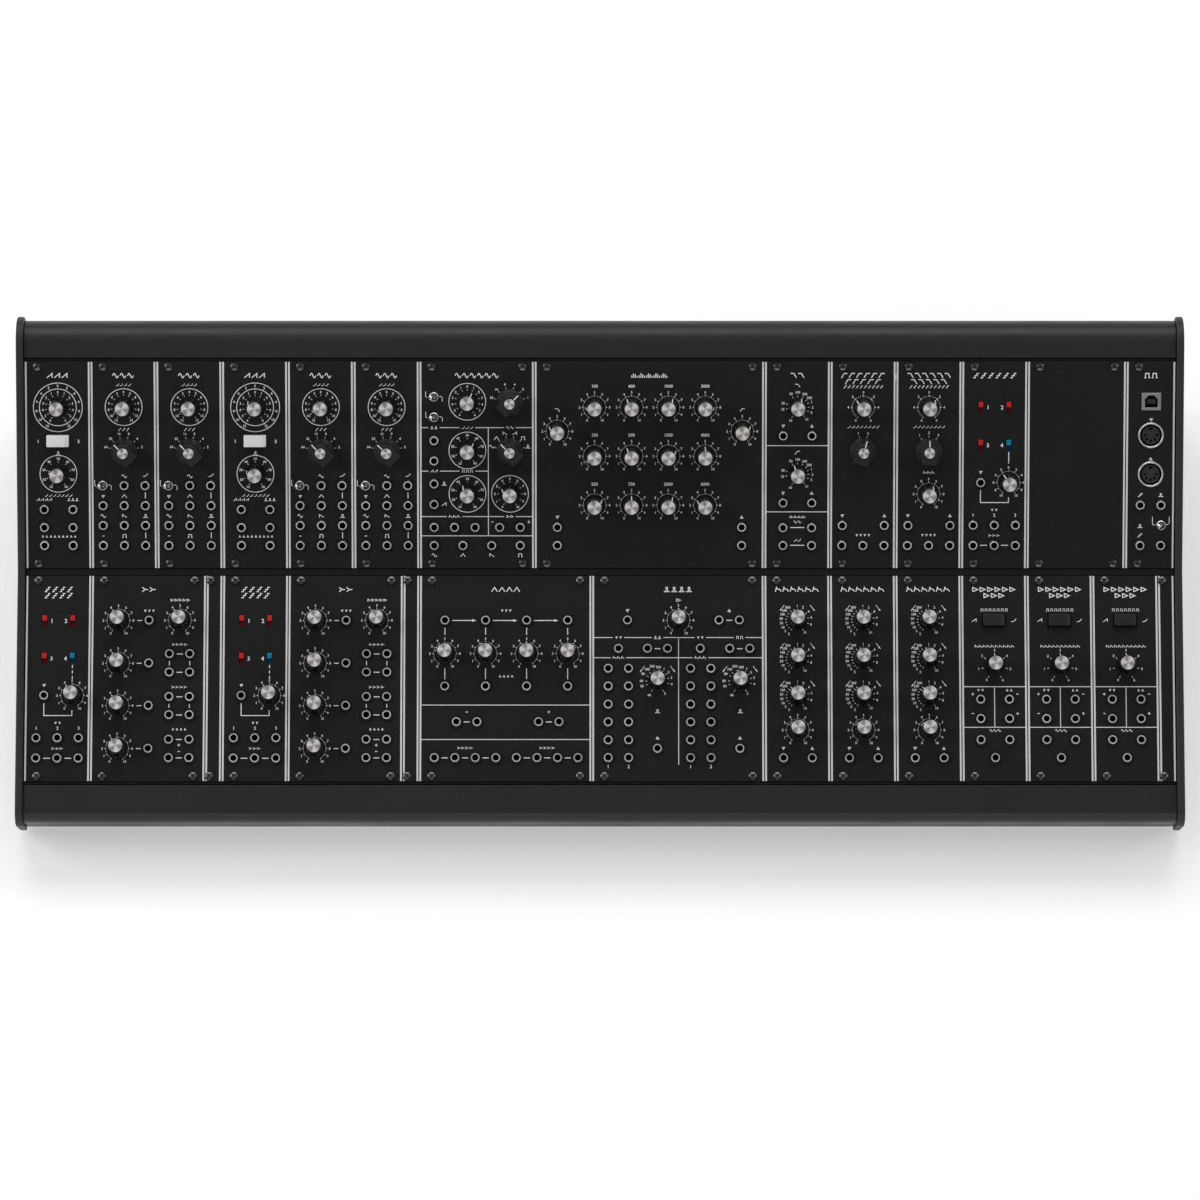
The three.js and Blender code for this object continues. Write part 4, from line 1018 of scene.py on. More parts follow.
# The rows, from left to right: a solid's name, the modules in it, and the bodies of its first moving controls
UPPER_ROW = [
    ("driver_left", [DRIVER], {"knob": "driver_knob", "rocker": "driver_rocker"}),
    (
        "oscillators_left",
        [OSCILLATOR, OSCILLATOR],
        {"knob": "oscillator_knob", "selector": "oscillator_range_selector", "toggle": "oscillator_toggle"},
    ),
    ("driver_right", [DRIVER], {}),
    ("oscillators_right", [OSCILLATOR, OSCILLATOR], {}),
    (
        "voltage_oscillator",
        [VOLTAGE_OSCILLATOR],
        {"knob": "voltage_knob", "selector": "octave_selector", "toggle": "sync_toggle"},
    ),
    ("filter_bank", [FILTER_BANK], {"knob": "filter_bank_knob"}),
    ("filters", [FILTERS], {"knob": "filters_knob"}),
    ("high_pass_filter", [HIGH_PASS_FILTER], {"knob": "high_pass_knob", "selector": "high_pass_selector"}),
    ("low_pass_filter", [LOW_PASS_FILTER], {"knob": "low_pass_knob", "selector": "low_pass_selector"}),
    (
        "control_voltages_upper",
        [SIGNED_CONTROL_VOLTAGES],
        {"knob": "control_voltage_knob", "slide": "routing_slide_switch"},
    ),
    ("blank_panel", [BLANK_PANEL], {}),
    ("bus_interface", [BUS_INTERFACE], {"toggle": "interface_toggle"}),
]

LOWER_ROW = [
    ("control_voltages_left", [CONTROL_VOLTAGES], {}),
    ("mixer_left", [MIXER, FILLER], {"knob": "mixer_knob"}),
    ("control_voltages_middle", [CONTROL_VOLTAGES], {}),
    ("mixer_middle", [MIXER, FILLER], {}),
    ("attenuators", [ATTENUATORS], {"knob": "attenuator_knob"}),
    ("trigger_interface", [TRIGGER_INTERFACE], {"knob": "sensitivity_knob"}),
    ("envelope_generators", [ENVELOPE_GENERATOR] * 3, {"knob": "attack_knob"}),
    ("amplifiers", [*[AMPLIFIER] * 3, FILLER], {"knob": "gain_knob", "rocker": "amplifier_rocker"}),
]


# Pieces


class Shape:
    """Closed solids of several finishes, gathered in millimetres for one mesh."""

    def __init__(self):
        self.points = []
        self.faces = []
        self.turns = []
        self.face_finishes = []
        self.finishes = []

    def add(self, solid, finish_name, place=Matrix.Identity(4)):
        points, faces, *turns = solid
        start = len(self.points)
        if finish_name not in self.finishes:
            self.finishes.append(finish_name)
        self.points += [place @ point for point in points]
        self.faces += [tuple(start + corner for corner in face) for face in faces]
        self.face_finishes += [self.finishes.index(finish_name)] * len(faces)
        # The turns are shifted by the solid's own turn, so that the painted highlight wedges on caps keep one
        # bearing at rest
        painted_wedge_turn = -place.to_euler().z / math.tau
        loops = turns[0] if turns else [[(0, 0)] * len(face) for face in faces]
        self.turns += [[(turn + painted_wedge_turn, rise) for turn, rise in loop] for loop in loops]

    def to_mesh(self, name, place):
        mesh = bpy.data.meshes.new(name)
        mesh.from_pydata([place @ point for point in self.points], [], self.faces)
        for finish_name in self.finishes:
            mesh.materials.append(FINISHES[finish_name])
        mesh.polygons.foreach_set("material_index", self.face_finishes)
        if "cap" in self.finishes:
            flat = [value for turns in self.turns for turn in turns for value in turn]
            mesh.uv_layers.new(name=POLAR_MAP).data.foreach_set("uv", flat)
        work = bmesh.new()
        work.from_mesh(mesh)
        bmesh.ops.recalc_face_normals(work, faces=work.faces)
        work.to_mesh(mesh)
        work.free()
        smooth(mesh)
        return mesh


def smooth(mesh):
    mesh.polygons.foreach_set("use_smooth", [True] * len(mesh.polygons))
    mesh.set_sharp_from_angle(angle=math.radians(SHARP_DEGREES))


def new_object(name, data):
    made = bpy.data.objects.new(name, data)
    bpy.context.scene.collection.objects.link(made)
    return made


def add_piece(name, mesh, body="root", replaced=()):
    piece = new_object(name, mesh)
    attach(piece, body)
    if replaced:
        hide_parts(*replaced)
    return piece


def at(x, y, z=0, degrees=0):
    """A place on a panel, and how far what stands there is turned clockwise."""
    return Matrix.Translation((x, y, z)) @ Matrix.Rotation(-math.radians(degrees), 4, "Z")


# Controls, each as solids with their finishes. They stand on a panel's face and point up it.


def cap_solid(radius, low, high):
    """A turned disc with a broken edge and a slightly dished face."""
    rings = [(0, low), (radius, low), (radius, high - CAP_EDGE), (radius - CAP_EDGE, high)]
    for i in range(1, CAP_RINGS):
        share = 1 - i / CAP_RINGS
        rings.append(((radius - CAP_EDGE) * share, high - CAP_DISH * (1 - share * share)))
    rings.append((0, high - CAP_DISH))
    return lathe(rings, KNOB_SIDES)


@cache
def knob_solids():
    top = KNOB_HEIGHT
    skirt = KNOB_SKIRT_HEIGHT
    body = [
        (0, 0),
        (KNOB_SKIRT_RADIUS - KNOB_EDGE, 0),
        (KNOB_SKIRT_RADIUS, KNOB_EDGE),
        (KNOB_SKIRT_RADIUS, skirt - 2 * KNOB_EDGE),
        (KNOB_SKIRT_RADIUS - KNOB_EDGE, skirt - KNOB_EDGE),
        (KNOB_WAIST_RADIUS, skirt),
        (KNOB_WAIST_RADIUS, skirt + KNOB_EDGE, fluted),
        (KNOB_TOP_RADIUS, top - 2 * KNOB_EDGE, fluted),
        (KNOB_TOP_RADIUS, top - KNOB_EDGE),
        (KNOB_CAP_RADIUS + KNOB_EDGE / 2, top),
        (KNOB_CAP_RADIUS, top - KNOB_EDGE / 2),
        (0, top - KNOB_EDGE / 2),
    ]
    mark = [
        (KNOB_CAP_RADIUS + KNOB_EDGE / 2, top - KNOB_EDGE),
        (KNOB_CAP_RADIUS + KNOB_EDGE / 2, top + KNOB_MARK_RISE),
        (KNOB_TOP_RADIUS + KNOB_MARK_RISE, top - KNOB_EDGE),
        (KNOB_WAIST_RADIUS + KNOB_MARK_RISE, skirt + KNOB_EDGE),
        (KNOB_SKIRT_RADIUS, skirt - KNOB_EDGE),
        (KNOB_WAIST_RADIUS - KNOB_EDGE, skirt - 2 * KNOB_EDGE),
    ]
    points, faces = drawn(mark, KNOB_MARK_WIDTH / 2)
    quarter = Matrix.Rotation(math.radians(90), 3, "Z")
    return [
        (lathe(body, KNOB_SIDES), "knob"),
        (cap_solid(KNOB_CAP_RADIUS, top - KNOB_CAP_DEPTH, top), "cap"),
        (([quarter @ point for point in points], faces), "print"),
        (shaft_solid(), "shaft"),
    ]


def shaft_solid():
    radius, low, high = SHAFT_RADIUS, -SHAFT_DEPTH, SHAFT_CLEARANCE
    return lathe([(0, low), (radius, low), (radius, high), (0, high)], SHAFT_SIDES)


@cache
def selector_solids():
    """A round skirt under a grip with a narrow pointer and a broad tail."""
    top = SELECTOR_HEIGHT
    skirt = [
        (0, 0),
        (SELECTOR_RADIUS, 0),
        (SELECTOR_RADIUS, SELECTOR_RIM_HEIGHT - SELECTOR_EDGE),
        (SELECTOR_RADIUS - SELECTOR_EDGE, SELECTOR_RIM_HEIGHT),
        (SELECTOR_SHOULDER_RADIUS, SELECTOR_SHOULDER_HEIGHT),
        (0, SELECTOR_SHOULDER_HEIGHT),
    ]
    half = [
        bearing((0, 0), share * SELECTOR_RADIUS, -degrees)
        for degrees, share in zip(SELECTOR_GRIP_DEGREES, SELECTOR_GRIP_SHARES)
    ]
    grip = half + [Vector((-point.x, point.y)) for point in half[-2::-1]]
    line = box(
        (-SELECTOR_LINE_WIDTH / 2, SELECTOR_LINE_START, top - SELECTOR_EDGE),
        (SELECTOR_LINE_WIDTH / 2, SELECTOR_LINE_END, top + PRINT_RISE),
    )
    return [
        (lathe(skirt, SELECTOR_SIDES), "selector"),
        (sheet([grip], SELECTOR_RIM_HEIGHT, top, SELECTOR_EDGE), "selector"),
        (cap_solid(SELECTOR_CAP_RADIUS, top - SELECTOR_EDGE, top + SELECTOR_CAP_RISE), "cap"),
        (line, "print"),
        (shaft_solid(), "shaft"),
    ]


@cache
def toggle_nut_solid():
    bore, outer, edge = TOGGLE_BORE_RADIUS, TOGGLE_NUT_RADIUS, TOGGLE_NUT_EDGE
    low, top = -PANEL_THICKNESS, TOGGLE_NUT_RISE
    rings = [(bore, low), (outer, low), (outer, top - edge), (outer - edge, top), (bore, top)]
    return lathe(rings, JACK_SIDES, closed=True)


@cache
def lever_solids():
    length, tip = TOGGLE_LEVER_LENGTH, TOGGLE_TIP_RADIUS
    lever = [
        (0, 0),
        (TOGGLE_LEVER_RADIUS, 0),
        (TOGGLE_LEVER_RADIUS, length - 2 * TOGGLE_TIP_LENGTH),
        (tip, length - TOGGLE_TIP_LENGTH / 2),
        (TOGGLE_TIP_SHARE * tip, length - TOGGLE_TIP_ROUND),
        (tip / 2, length),
        (0, length),
    ]
    ball = [(0, -TOGGLE_BALL_DEPTH)]
    for i in range(TOGGLE_BALL_RINGS):
        height = -TOGGLE_BALL_DEPTH + (TOGGLE_BALL_RADIUS + TOGGLE_BALL_DEPTH) * i / TOGGLE_BALL_RINGS
        ball.append((math.sqrt(TOGGLE_BALL_RADIUS**2 - height**2), height))
    ball.append((0, TOGGLE_BALL_RADIUS))
    return [(lathe(lever, JACK_SIDES), "lever"), (lathe(ball, JACK_SIDES), "ball")]


@cache
def rocker_solid():
    half = ROCKER_LENGTH / 2
    outline = [
        (-half, -ROCKER_SKIRT),
        (half, -ROCKER_SKIRT),
        (half, ROCKER_LOW_HEIGHT),
        ((ROCKER_BEND_SHARE - 1 / 2) * ROCKER_LENGTH, ROCKER_HEIGHT),
        (-half, ROCKER_HEIGHT),
    ]
    return softened(*drawn(outline, ROCKER_WIDTH / 2), ROCKER_EDGE)


@cache
def slide_button_solid():
    half_width, half_length = SLIDE_WIDTH / 2, SLIDE_BUTTON_LENGTH / 2
    low = (-half_width, -half_length, -SLIDE_BUTTON_DEPTH)
    high = (half_width, half_length, SLIDE_BUTTON_RISE)
    return softened(*box(low, high), SLIDE_EDGE)


@cache
def jack_solids():
    """A bushing through the panel, its lining, its knurled nut, and the body behind with its bore."""
    bore, bush, nut, chamfer = JACK_BORE_RADIUS, JACK_BUSH_RADIUS, JACK_NUT_RADIUS, JACK_NUT_CHAMFER
    rim, lip = JACK_RIM_RADIUS, JACK_BUSH_RISE - JACK_RIM_EDGE
    bushing = [
        (rim, -JACK_BUSH_DEPTH),
        (bush, -JACK_BUSH_DEPTH),
        (bush, lip),
        (bush - JACK_RIM_EDGE, JACK_BUSH_RISE),
        (rim, JACK_BUSH_RISE),
    ]
    lining = [(bore, -JACK_BUSH_DEPTH), (rim, -JACK_BUSH_DEPTH), (rim, lip), (bore, lip)]
    ring = [
        (bush, -PRINT_SINK),
        (nut, -PRINT_SINK, knurled),
        (nut, JACK_NUT_RISE - chamfer, knurled),
        (nut - chamfer, JACK_NUT_RISE),
        (bush, JACK_NUT_RISE),
    ]
    outlines = [rectangle(JACK_BODY_WIDTH, JACK_BODY_WIDTH), hole(circle(bore, JACK_SIDES))]
    return [
        (lathe(bushing, JACK_SIDES, closed=True), "metal"),
        (lathe(lining, JACK_SIDES, closed=True), "bore"),
        (lathe(ring, 2 * JACK_SIDES, closed=True), "nut"),
        (sheet(outlines, -BOARD_DEPTH, -JACK_BUSH_DEPTH), "bore"),
    ]


@cache
def pot_solid():
    """The body behind a knob, with the bore that the shaft turns in."""
    bore, outer = SHAFT_RADIUS + SHAFT_CLEARANCE, POT_RADIUS
    back, front = -BOARD_DEPTH, -PANEL_THICKNESS
    return lathe([(bore, back), (outer, back), (outer, front), (bore, front)], SHAFT_SIDES, closed=True)


@cache
def screw_solid():
    floor = SCREW_RISE - SCREW_RECESS_DEPTH
    rings = [
        (0, -PRINT_SINK),
        (SCREW_RADIUS, -PRINT_SINK),
        (SCREW_RADIUS, floor),
        (SCREW_RADIUS - SCREW_EDGE / 2, SCREW_RISE - SCREW_EDGE),
        (SCREW_RADIUS - 2 * SCREW_EDGE, SCREW_RISE - SCREW_EDGE / 4),
        (SCREW_RECESS_RADIUS + SCREW_EDGE / 4, SCREW_RISE),
        (SCREW_RECESS_RADIUS, SCREW_RISE - SCREW_EDGE / 4, hexagonal),
        (SCREW_RECESS_RADIUS, floor, hexagonal),
        (0, floor),
    ]
    return lathe(rings, SCREW_SIDES)


def chamfered(width, height, chamfer):
    """A rectangle whose upper corners are cut off, anticlockwise."""
    x, y = width / 2, height / 2
    corners = [(-x, -y), (x, -y), (x, y - chamfer), (x - chamfer, y), (chamfer - x, y), (-x, y - chamfer)]
    return [Vector(corner) for corner in corners]


@cache
def data_socket_solids():
    """A square shell round an opening with a tongue."""
    opening = chamfered(*USB_OPENING, USB_CHAMFER)
    shell = sheet([rectangle(USB_WIDTH, USB_HEIGHT), hole(opening)], -BOARD_DEPTH, USB_PROUD, PANEL_BEVEL)
    half = USB_TONGUE_WIDTH / 2, USB_TONGUE_HEIGHT / 2
    tongue = box((-half[0], -half[1], -USB_DEPTH), (half[0], half[1], -USB_TONGUE_DEPTH))
    floor = sheet([opening], -BOARD_DEPTH, -USB_DEPTH)
    return [(shell, "shell"), (tongue, "socket_face"), (floor, "bore")]


@cache
def round_socket_solids():
    """A metal ring round a gap and a recessed face with five contact slots and a notch."""
    inner = DIN_RADIUS - DIN_WALL
    front = DIN_PROUD - DIN_RECESS
    ring = [
        (inner, -BOARD_DEPTH),
        (DIN_RADIUS, -BOARD_DEPTH),
        (DIN_RADIUS, DIN_PROUD - PANEL_BEVEL),
        (DIN_RADIUS - PANEL_BEVEL, DIN_PROUD),
        (inner + PANEL_BEVEL, DIN_PROUD),
        (inner, DIN_PROUD - PANEL_BEVEL),
    ]
    pin = rectangle(*DIN_PIN_SIZE, (0, DIN_PIN_CIRCLE))
    turns = [Matrix.Rotation(-math.radians(degrees), 2) for degrees in DIN_PIN_DEGREES]
    pins = [hole([turn @ corner for corner in pin]) for turn in turns]
    notch = hole(rectangle(2 * DIN_NOTCH_HALF_WIDTH, DIN_NOTCH_DEPTH, (0, DIN_FACE_RADIUS - DIN_NOTCH_DEPTH)))
    face = sheet([circle(DIN_FACE_RADIUS, DIN_SIDES), *pins, notch], front - DIN_PIN_DEPTH, front)
    floor = sheet([circle(inner, DIN_SIDES)], -BOARD_DEPTH, front - DIN_PIN_DEPTH)
    return [(lathe(ring, DIN_SIDES, closed=True), "metal"), (face, "socket_face"), (floor, "bore")]


# Modules: the material slots of a module's parts and of its moving controls, and how far each sort of printed
# link stays from the middles of what it joins

PART_SLOTS = {
    "sockets": "socket_metal",
    "controls": "knob",
    "printing": "print",
    "screws": "screw",
    "board": "board",
}
LINK_CLEARANCES = {
    "link_shares": (SOCKET_CLEARANCE, SOCKET_CLEARANCE),
    "dial_link_shares": (DIAL_CLEARANCE, SOCKET_CLEARANCE),
    "dial_foot_link_shares": (DIAL_FOOT_CLEARANCE, SOCKET_CLEARANCE),
}


class Module:
    """The pieces that dress one module solid of a row, in millimetres on the row's panels."""

    def __init__(self, row, name, kinds, moving, left):
        self.row = row
        self.moving = dict(moving)
        self.left = left
        self.sheets = Shape()
        self.parts = {part: Shape() for part in PART_SLOTS}
        for kind in kinds:
            self.width = kind["slots"] * SLOT_WIDTH
            self.openings = []
            self.add_kind(kind)
            self.add_sheet()
            self.left += self.width
        add_piece(name + "_sheet", self.sheets.to_mesh(name, row), replaced=[name])
        for part, shape in self.parts.items():
            if shape.points:
                add_piece(f"{name}_{part}", shape.to_mesh(f"{name}_{part}", row))

    def at(self, share):
        """A place on the panel, from its shares."""
        return Vector((self.left + share[0] * self.width, (1 - share[1]) * PANEL_HEIGHT))

    def places(self, kind, key):
        return [self.at(share) for share in kind.get(key, [])]

    def add_kind(self, kind):
        for across, down in kind.get("jack_shares", []):
            for place in map(self.at, product(across, down)):
                self.add_socket(place, circle(JACK_BUSH_RADIUS, JACK_SIDES, place), jack_solids())
        for place, (dial, pointer) in zip(self.places(kind, "knob_shares"), kind.get("knobs", [])):
            self.add_turned_control("knob", knob_solids(), place, pointer)
            self.print_dial(place, **DIALS[dial])
        for place, (dial, pointer) in zip(self.places(kind, "selector_shares"), kind.get("selectors", [])):
            self.add_turned_control("selector", selector_solids(), place, pointer)
            self.print_positions(place, SELECTOR_DIALS[dial])
        for place in self.places(kind, "rocker_shares"):
            self.add_rocker(place, kind["rocker_finish"])
        for place in self.places(kind, "toggle_shares"):
            self.add_toggle(place)
            for guide in kind["toggle_guides"]:
                self.print_stroke([place + Vector(point) for point in guide], SYMBOL_LINE)
        for place, finish_name in zip(self.places(kind, "slide_shares"), kind.get("slide_finishes", [])):
            self.add_slide(place, finish_name)
        for place in self.places(kind, "data_socket_shares"):
            self.add_socket(place, rectangle(USB_WIDTH, USB_HEIGHT, place), data_socket_solids())
        for place in self.places(kind, "round_socket_shares"):
            self.add_socket(place, circle(DIN_RADIUS, DIN_SIDES, place), round_socket_solids())
        self.print_marks(kind)
        self.print_lines(kind)
        self.add_screws()
        if "jack_shares" in kind:
            self.add_board()

    # Things on the panel

    def add_solids(self, shape, solids, place):
        for solid, finish_name in solids:
            shape.add(solid, finish_name, place)

    def add_control(self, sort, solids, place):
        """The first control of each sort moves on a body of its own, and the others stay on the panel."""
        name = self.moving.pop(sort, None)
        shape = Shape() if name else self.parts["controls"]
        self.add_solids(shape, solids, place)
        if name:
            add_piece(name + "_dressed", shape.to_mesh(name, self.row), name, [name])

    def add_socket(self, place, opening, solids):
        self.openings.append(opening)
        self.add_solids(self.parts["sockets"], solids, at(*place))

    def add_turned_control(self, sort, solids, place, pointer):
        self.openings.append(circle(SHAFT_RADIUS + SHAFT_CLEARANCE, SHAFT_SIDES, place))
        self.parts["board"].add(pot_solid(), "shaft", at(*place))
        self.add_control(sort, solids, at(*place, KNOB_CLEARANCE, pointer))

    def add_rocker(self, place, finish_name):
        width = ROCKER_LENGTH + 2 * ROCKER_CLEARANCE
        height = ROCKER_WIDTH + 2 * ROCKER_CLEARANCE
        window = rectangle(width, height, place)
        outer = rectangle(width + 2 * WELL_WALL, height + 2 * WELL_WALL, place)
        self.openings.append(window)
        self.add_backing([outer, hole(window)], -ROCKER_WELL_DEPTH, -PANEL_THICKNESS)
        self.add_backing([outer], -BOARD_DEPTH, -ROCKER_WELL_DEPTH)
        self.add_control("rocker", [(rocker_solid(), finish_name)], at(*place))

    def add_backing(self, outlines, low, high, finish_name="bore"):
        """What stands between the panel and its circuit board."""
        self.parts["board"].add(sheet(outlines, low, high), finish_name)

    def add_toggle(self, place):
        outline = circle(TOGGLE_NUT_RADIUS, JACK_SIDES, place)
        self.openings.append(outline)
        self.parts["sockets"].add(toggle_nut_solid(), "metal", at(*place))
        self.add_backing([outline], -BOARD_DEPTH, -PANEL_THICKNESS)
        lean = Matrix.Rotation(-math.radians(TOGGLE_LEAN_DEGREES), 4, "Y")
        self.add_control("toggle", lever_solids(), at(*place, -TOGGLE_PIVOT_DEPTH) @ lean)

    def add_slide(self, place, finish_name):
        width = SLIDE_WIDTH + 2 * SLIDE_CLEARANCE
        length = SLIDE_TRAVEL + SLIDE_BUTTON_LENGTH + 2 * SLIDE_CLEARANCE
        slot = rectangle(width, length, place)
        floor = -SLIDE_BUTTON_DEPTH - SLIDE_FLOOR_GAP
        self.openings.append(slot)
        # The floor takes a darker copy of the slide's colour, painted shade for the depth of the slot
        self.add_backing([slot], -BOARD_DEPTH, floor, finish_name + "_floor")
        middle = at(place.x, place.y + SLIDE_TRAVEL / 2)
        self.add_control("slide", [(slide_button_solid(), finish_name)], middle)

    def add_screws(self):
        """One near each end of the left edge, and of the right edge too on a wide panel."""
        sides = [FILLER_SCREW_INSET if self.width < 2 * SCREW_LEFT_INSET else SCREW_LEFT_INSET]
        if self.width > WIDE_PANEL_SLOTS * SLOT_WIDTH:
            sides.append(self.width - SCREW_RIGHT_INSET)
        for x in sides:
            for y in (SCREW_END_INSET, PANEL_HEIGHT - SCREW_END_INSET):
                self.parts["screws"].add(screw_solid(), "screw", at(self.left + x, y))

    def add_sheet(self):
        middle = (self.left + self.width / 2, PANEL_HEIGHT / 2)
        outlines = [rectangle(self.width - PANEL_GAP, PANEL_HEIGHT, middle), *map(hole, self.openings)]
        self.sheets.add(sheet(outlines, -PANEL_THICKNESS, 0, PANEL_BEVEL), "panel")

    def add_board(self):
        """The circuit board behind the panel, with its chips and the header for its lead."""
        back = -BOARD_DEPTH - BOARD_THICKNESS
        middle = Vector((self.left + self.width / 2, PANEL_HEIGHT / 2))
        outline = rectangle(self.width - 2 * BOARD_SIDE_INSET, PANEL_HEIGHT - 2 * BOARD_INSET, middle)
        self.parts["board"].add(sheet([outline], back, -BOARD_DEPTH, PANEL_BEVEL), "board")
        self.add_backing([rectangle(HEADER_LENGTH, HEADER_WIDTH, middle)], back - HEADER_HEIGHT, back, "chip")
        for side in (-1, 1):
            chip = rectangle(CHIP_LENGTH, CHIP_WIDTH, middle + Vector((0, side * CHIP_PITCH)))
            self.add_backing([chip], back - CHIP_HEIGHT, back, "chip")

    # Printing

    def print_stroke(self, path, width, finish_name="print", closed=False):
        self.parts["printing"].add(stroke([Vector(point) for point in path], width, closed), finish_name)

    def print_number(self, text, place, height):
        self.parts["printing"].add(lettering(text, height), "print", at(*place))

    def print_symbols(self, symbol, place, size, count=1):
        """A row of equal symbols."""
        half_width, half_height, line, pitch = size
        for i in range(count):
            middle = place[0] + (i - (count - 1) / 2) * pitch
            for path in SYMBOL_SHARES[symbol]:
                points = [(middle + x * half_width, place[1] + y * half_height) for x, y in path]
                self.print_stroke(points, line)

    def print_label(self, label, place, height):
        if label in SYMBOL_SHARES:
            self.print_symbols(label, place, SYMBOL_SIZE)
        else:
            self.print_number(label, place, height)

    def print_ticks(self, place, bearings, radii):
        for degrees in bearings:
            self.print_stroke([bearing(place, radius, degrees) for radius in radii], SCALE_WIDTH)

    def print_circle(self, place, radius):
        self.print_stroke(circle(radius, CIRCLE_SIDES, place), CIRCLE_WIDTH, closed=True)

    def print_arc(self, place, bearings):
        """A thin line from the first tick of a scale to its last."""
        turn = (bearings[-1] - bearings[0]) / ARC_STEPS
        path = [bearing(place, TICK_RADII[0], bearings[0] + turn * i) for i in range(ARC_STEPS + 1)]
        self.print_stroke(path, ARC_WIDTH)

    def print_dial(
        self, place, labels, label_radii=(LABEL_RADIUS, LABEL_RADIUS), tick_radii=TICK_RADII, ringed=False,
        outer_labels=(), minor_step=0, range_arrows=False,
    ):
        """A scale: its labels, which may stand further out on its left, its ticks and what else it has."""
        bearings = [degrees for _, degrees in labels]
        for label, degrees in labels:
            radius = CIRCLE_LABEL_RADIUS if ringed else label_radii[degrees >= 0]
            self.print_number(label, bearing(place, radius, degrees), DIGIT_HEIGHT)
        self.print_ticks(place, bearings, tick_radii)
        if ringed:
            self.print_circle(place, CIRCLE_RADIUS)
        elif tick_radii == TICK_RADII:
            self.print_arc(place, bearings)
        if outer_labels:
            self.print_circle(place, OUTER_CIRCLE_RADIUS)
            self.print_ticks(place, [degrees for _, degrees in outer_labels], OUTER_TICK_RADII)
            for label, degrees in outer_labels:
                self.print_number(label, bearing(place, OUTER_LABEL_RADIUS, degrees), DIGIT_HEIGHT)
        if minor_step:
            count = math.floor((bearings[-1] - bearings[0]) / minor_step)
            minor = [bearings[0] + minor_step * i for i in range(count + 1)]
            self.print_ticks(place, minor, MINOR_TICK_RADII)
        if range_arrows:
            self.print_range_arrows(place)

    def print_range_arrows(self, place):
        """An arrow down each shoulder of a scale, towards its short and its long times."""
        for side in (-1, 1):
            ends = [place + Vector((side * x, y)) for x, y in (RANGE_ARROW_START, RANGE_ARROW_END)]
            self.print_arrow(*ends, SCALE_WIDTH)

    def print_arrow(self, start, end, width):
        along = (end - start).normalized()
        sideways = Vector((-along.y, along.x)) * ARROW_HALF_WIDTH_RATIO * width
        neck = end - along * ARROW_LENGTH_RATIO * width
        self.print_stroke([start, neck], width)
        head = sheet([[neck - sideways, end, neck + sideways]], -PRINT_SINK, PRINT_RISE)
        self.parts["printing"].add(head, "print")

    def print_positions(self, place, labels):
        """The positions of a selector, each with its tick and label."""
        first = -SELECTOR_STEP * (len(labels) - 1) / 2
        for i, label in enumerate(labels):
            degrees = first + SELECTOR_STEP * i
            self.print_ticks(place, [degrees], SELECTOR_TICK_RADII)
            self.print_label(label, bearing(place, SELECTOR_LABEL_RADIUS, degrees), DIGIT_HEIGHT)

    def print_marks(self, kind):
        for symbol, *share in kind.get("symbol_shares", []):
            self.print_symbols(symbol, self.at(share), SYMBOL_SIZE)
        for symbol, count, *share in kind.get("caption_shares", []):
            self.print_symbols(symbol, self.at(share), CAPTION_SIZE, count)
        for key, height in (("number_shares", NUMBER_HEIGHT), ("large_number_shares", LARGE_NUMBER_HEIGHT)):
            for text, *share in kind.get(key, []):
                self.print_number(text, self.at(share), height)
        symbol, *counts = kind.get("title", [""])
        for line, count in enumerate(counts):
            middle = self.at((TITLE_MIDDLE_SHARE, TITLE_SHARE + line * TITLE_LINE_SHARE))
            self.print_symbols(symbol, middle, TITLE_SIZE, count)

    def print_lines(self, kind):
        inset = STRIPE_INSET + STRIPE_WIDTH / 2
        for x in (self.left + inset, self.left + self.width - inset):
            self.print_stroke([(x, PANEL_BEVEL), (x, PANEL_HEIGHT - PANEL_BEVEL)], STRIPE_WIDTH, "silver")
        for shares in kind.get("section_shares", []):
            self.print_section(*[self.at(share) for share in shares])
        for section in kind.get("captioned_section_shares", []):
            self.print_captioned_section(*section)
        for path in kind.get("wire_shares", []):
            self.print_stroke([self.at(share) for share in path], LINK_WIDTH)
        for shares in kind.get("arrow_shares", []):
            self.print_arrow(*self.shortened(shares, SOCKET_CLEARANCE, ARROW_CLEARANCE), LINK_WIDTH)
        for key, clearances in LINK_CLEARANCES.items():
            for shares in kind.get(key, []):
                self.print_stroke(self.shortened(shares, *clearances), LINK_WIDTH)
        for shares in kind.get("dashed_shares", []):
            self.print_dashes(*self.shortened(shares, SLIDE_FOOT_CLEARANCE, DIAL_CLEARANCE))

    def shortened(self, shares, start_clearance, end_clearance):
        """A line between two places that stops short of what stands there."""
        start, end = [self.at(share) for share in shares]
        along = (end - start).normalized()
        return [start + along * start_clearance, end - along * end_clearance]

    def print_section(self, start, end):
        """A silver line between parts of a panel, which ends at the stripes along the panel's sides."""
        margin = STRIPE_INSET + STRIPE_WIDTH
        low, high = self.left + margin, self.left + self.width - margin
        path = [(min(max(point.x, low), high), point.y) for point in (start, end)]
        self.print_stroke(path, SECTION_WIDTH, "silver")

    def print_captioned_section(self, start_share, end_share, down_share, captions):
        """A section's line, broken for rows of symbols."""
        start = self.at((start_share, down_share))
        for symbol, count, across_share in captions:
            middle = self.at((across_share, down_share))
            half_gap = Vector((count * CAPTION_SIZE[3] / 2 + SECTION_GAP, 0))
            self.print_section(start, middle - half_gap)
            self.print_symbols(symbol, middle, CAPTION_SIZE, count)
            start = middle + half_gap
        self.print_section(start, self.at((end_share, down_share)))

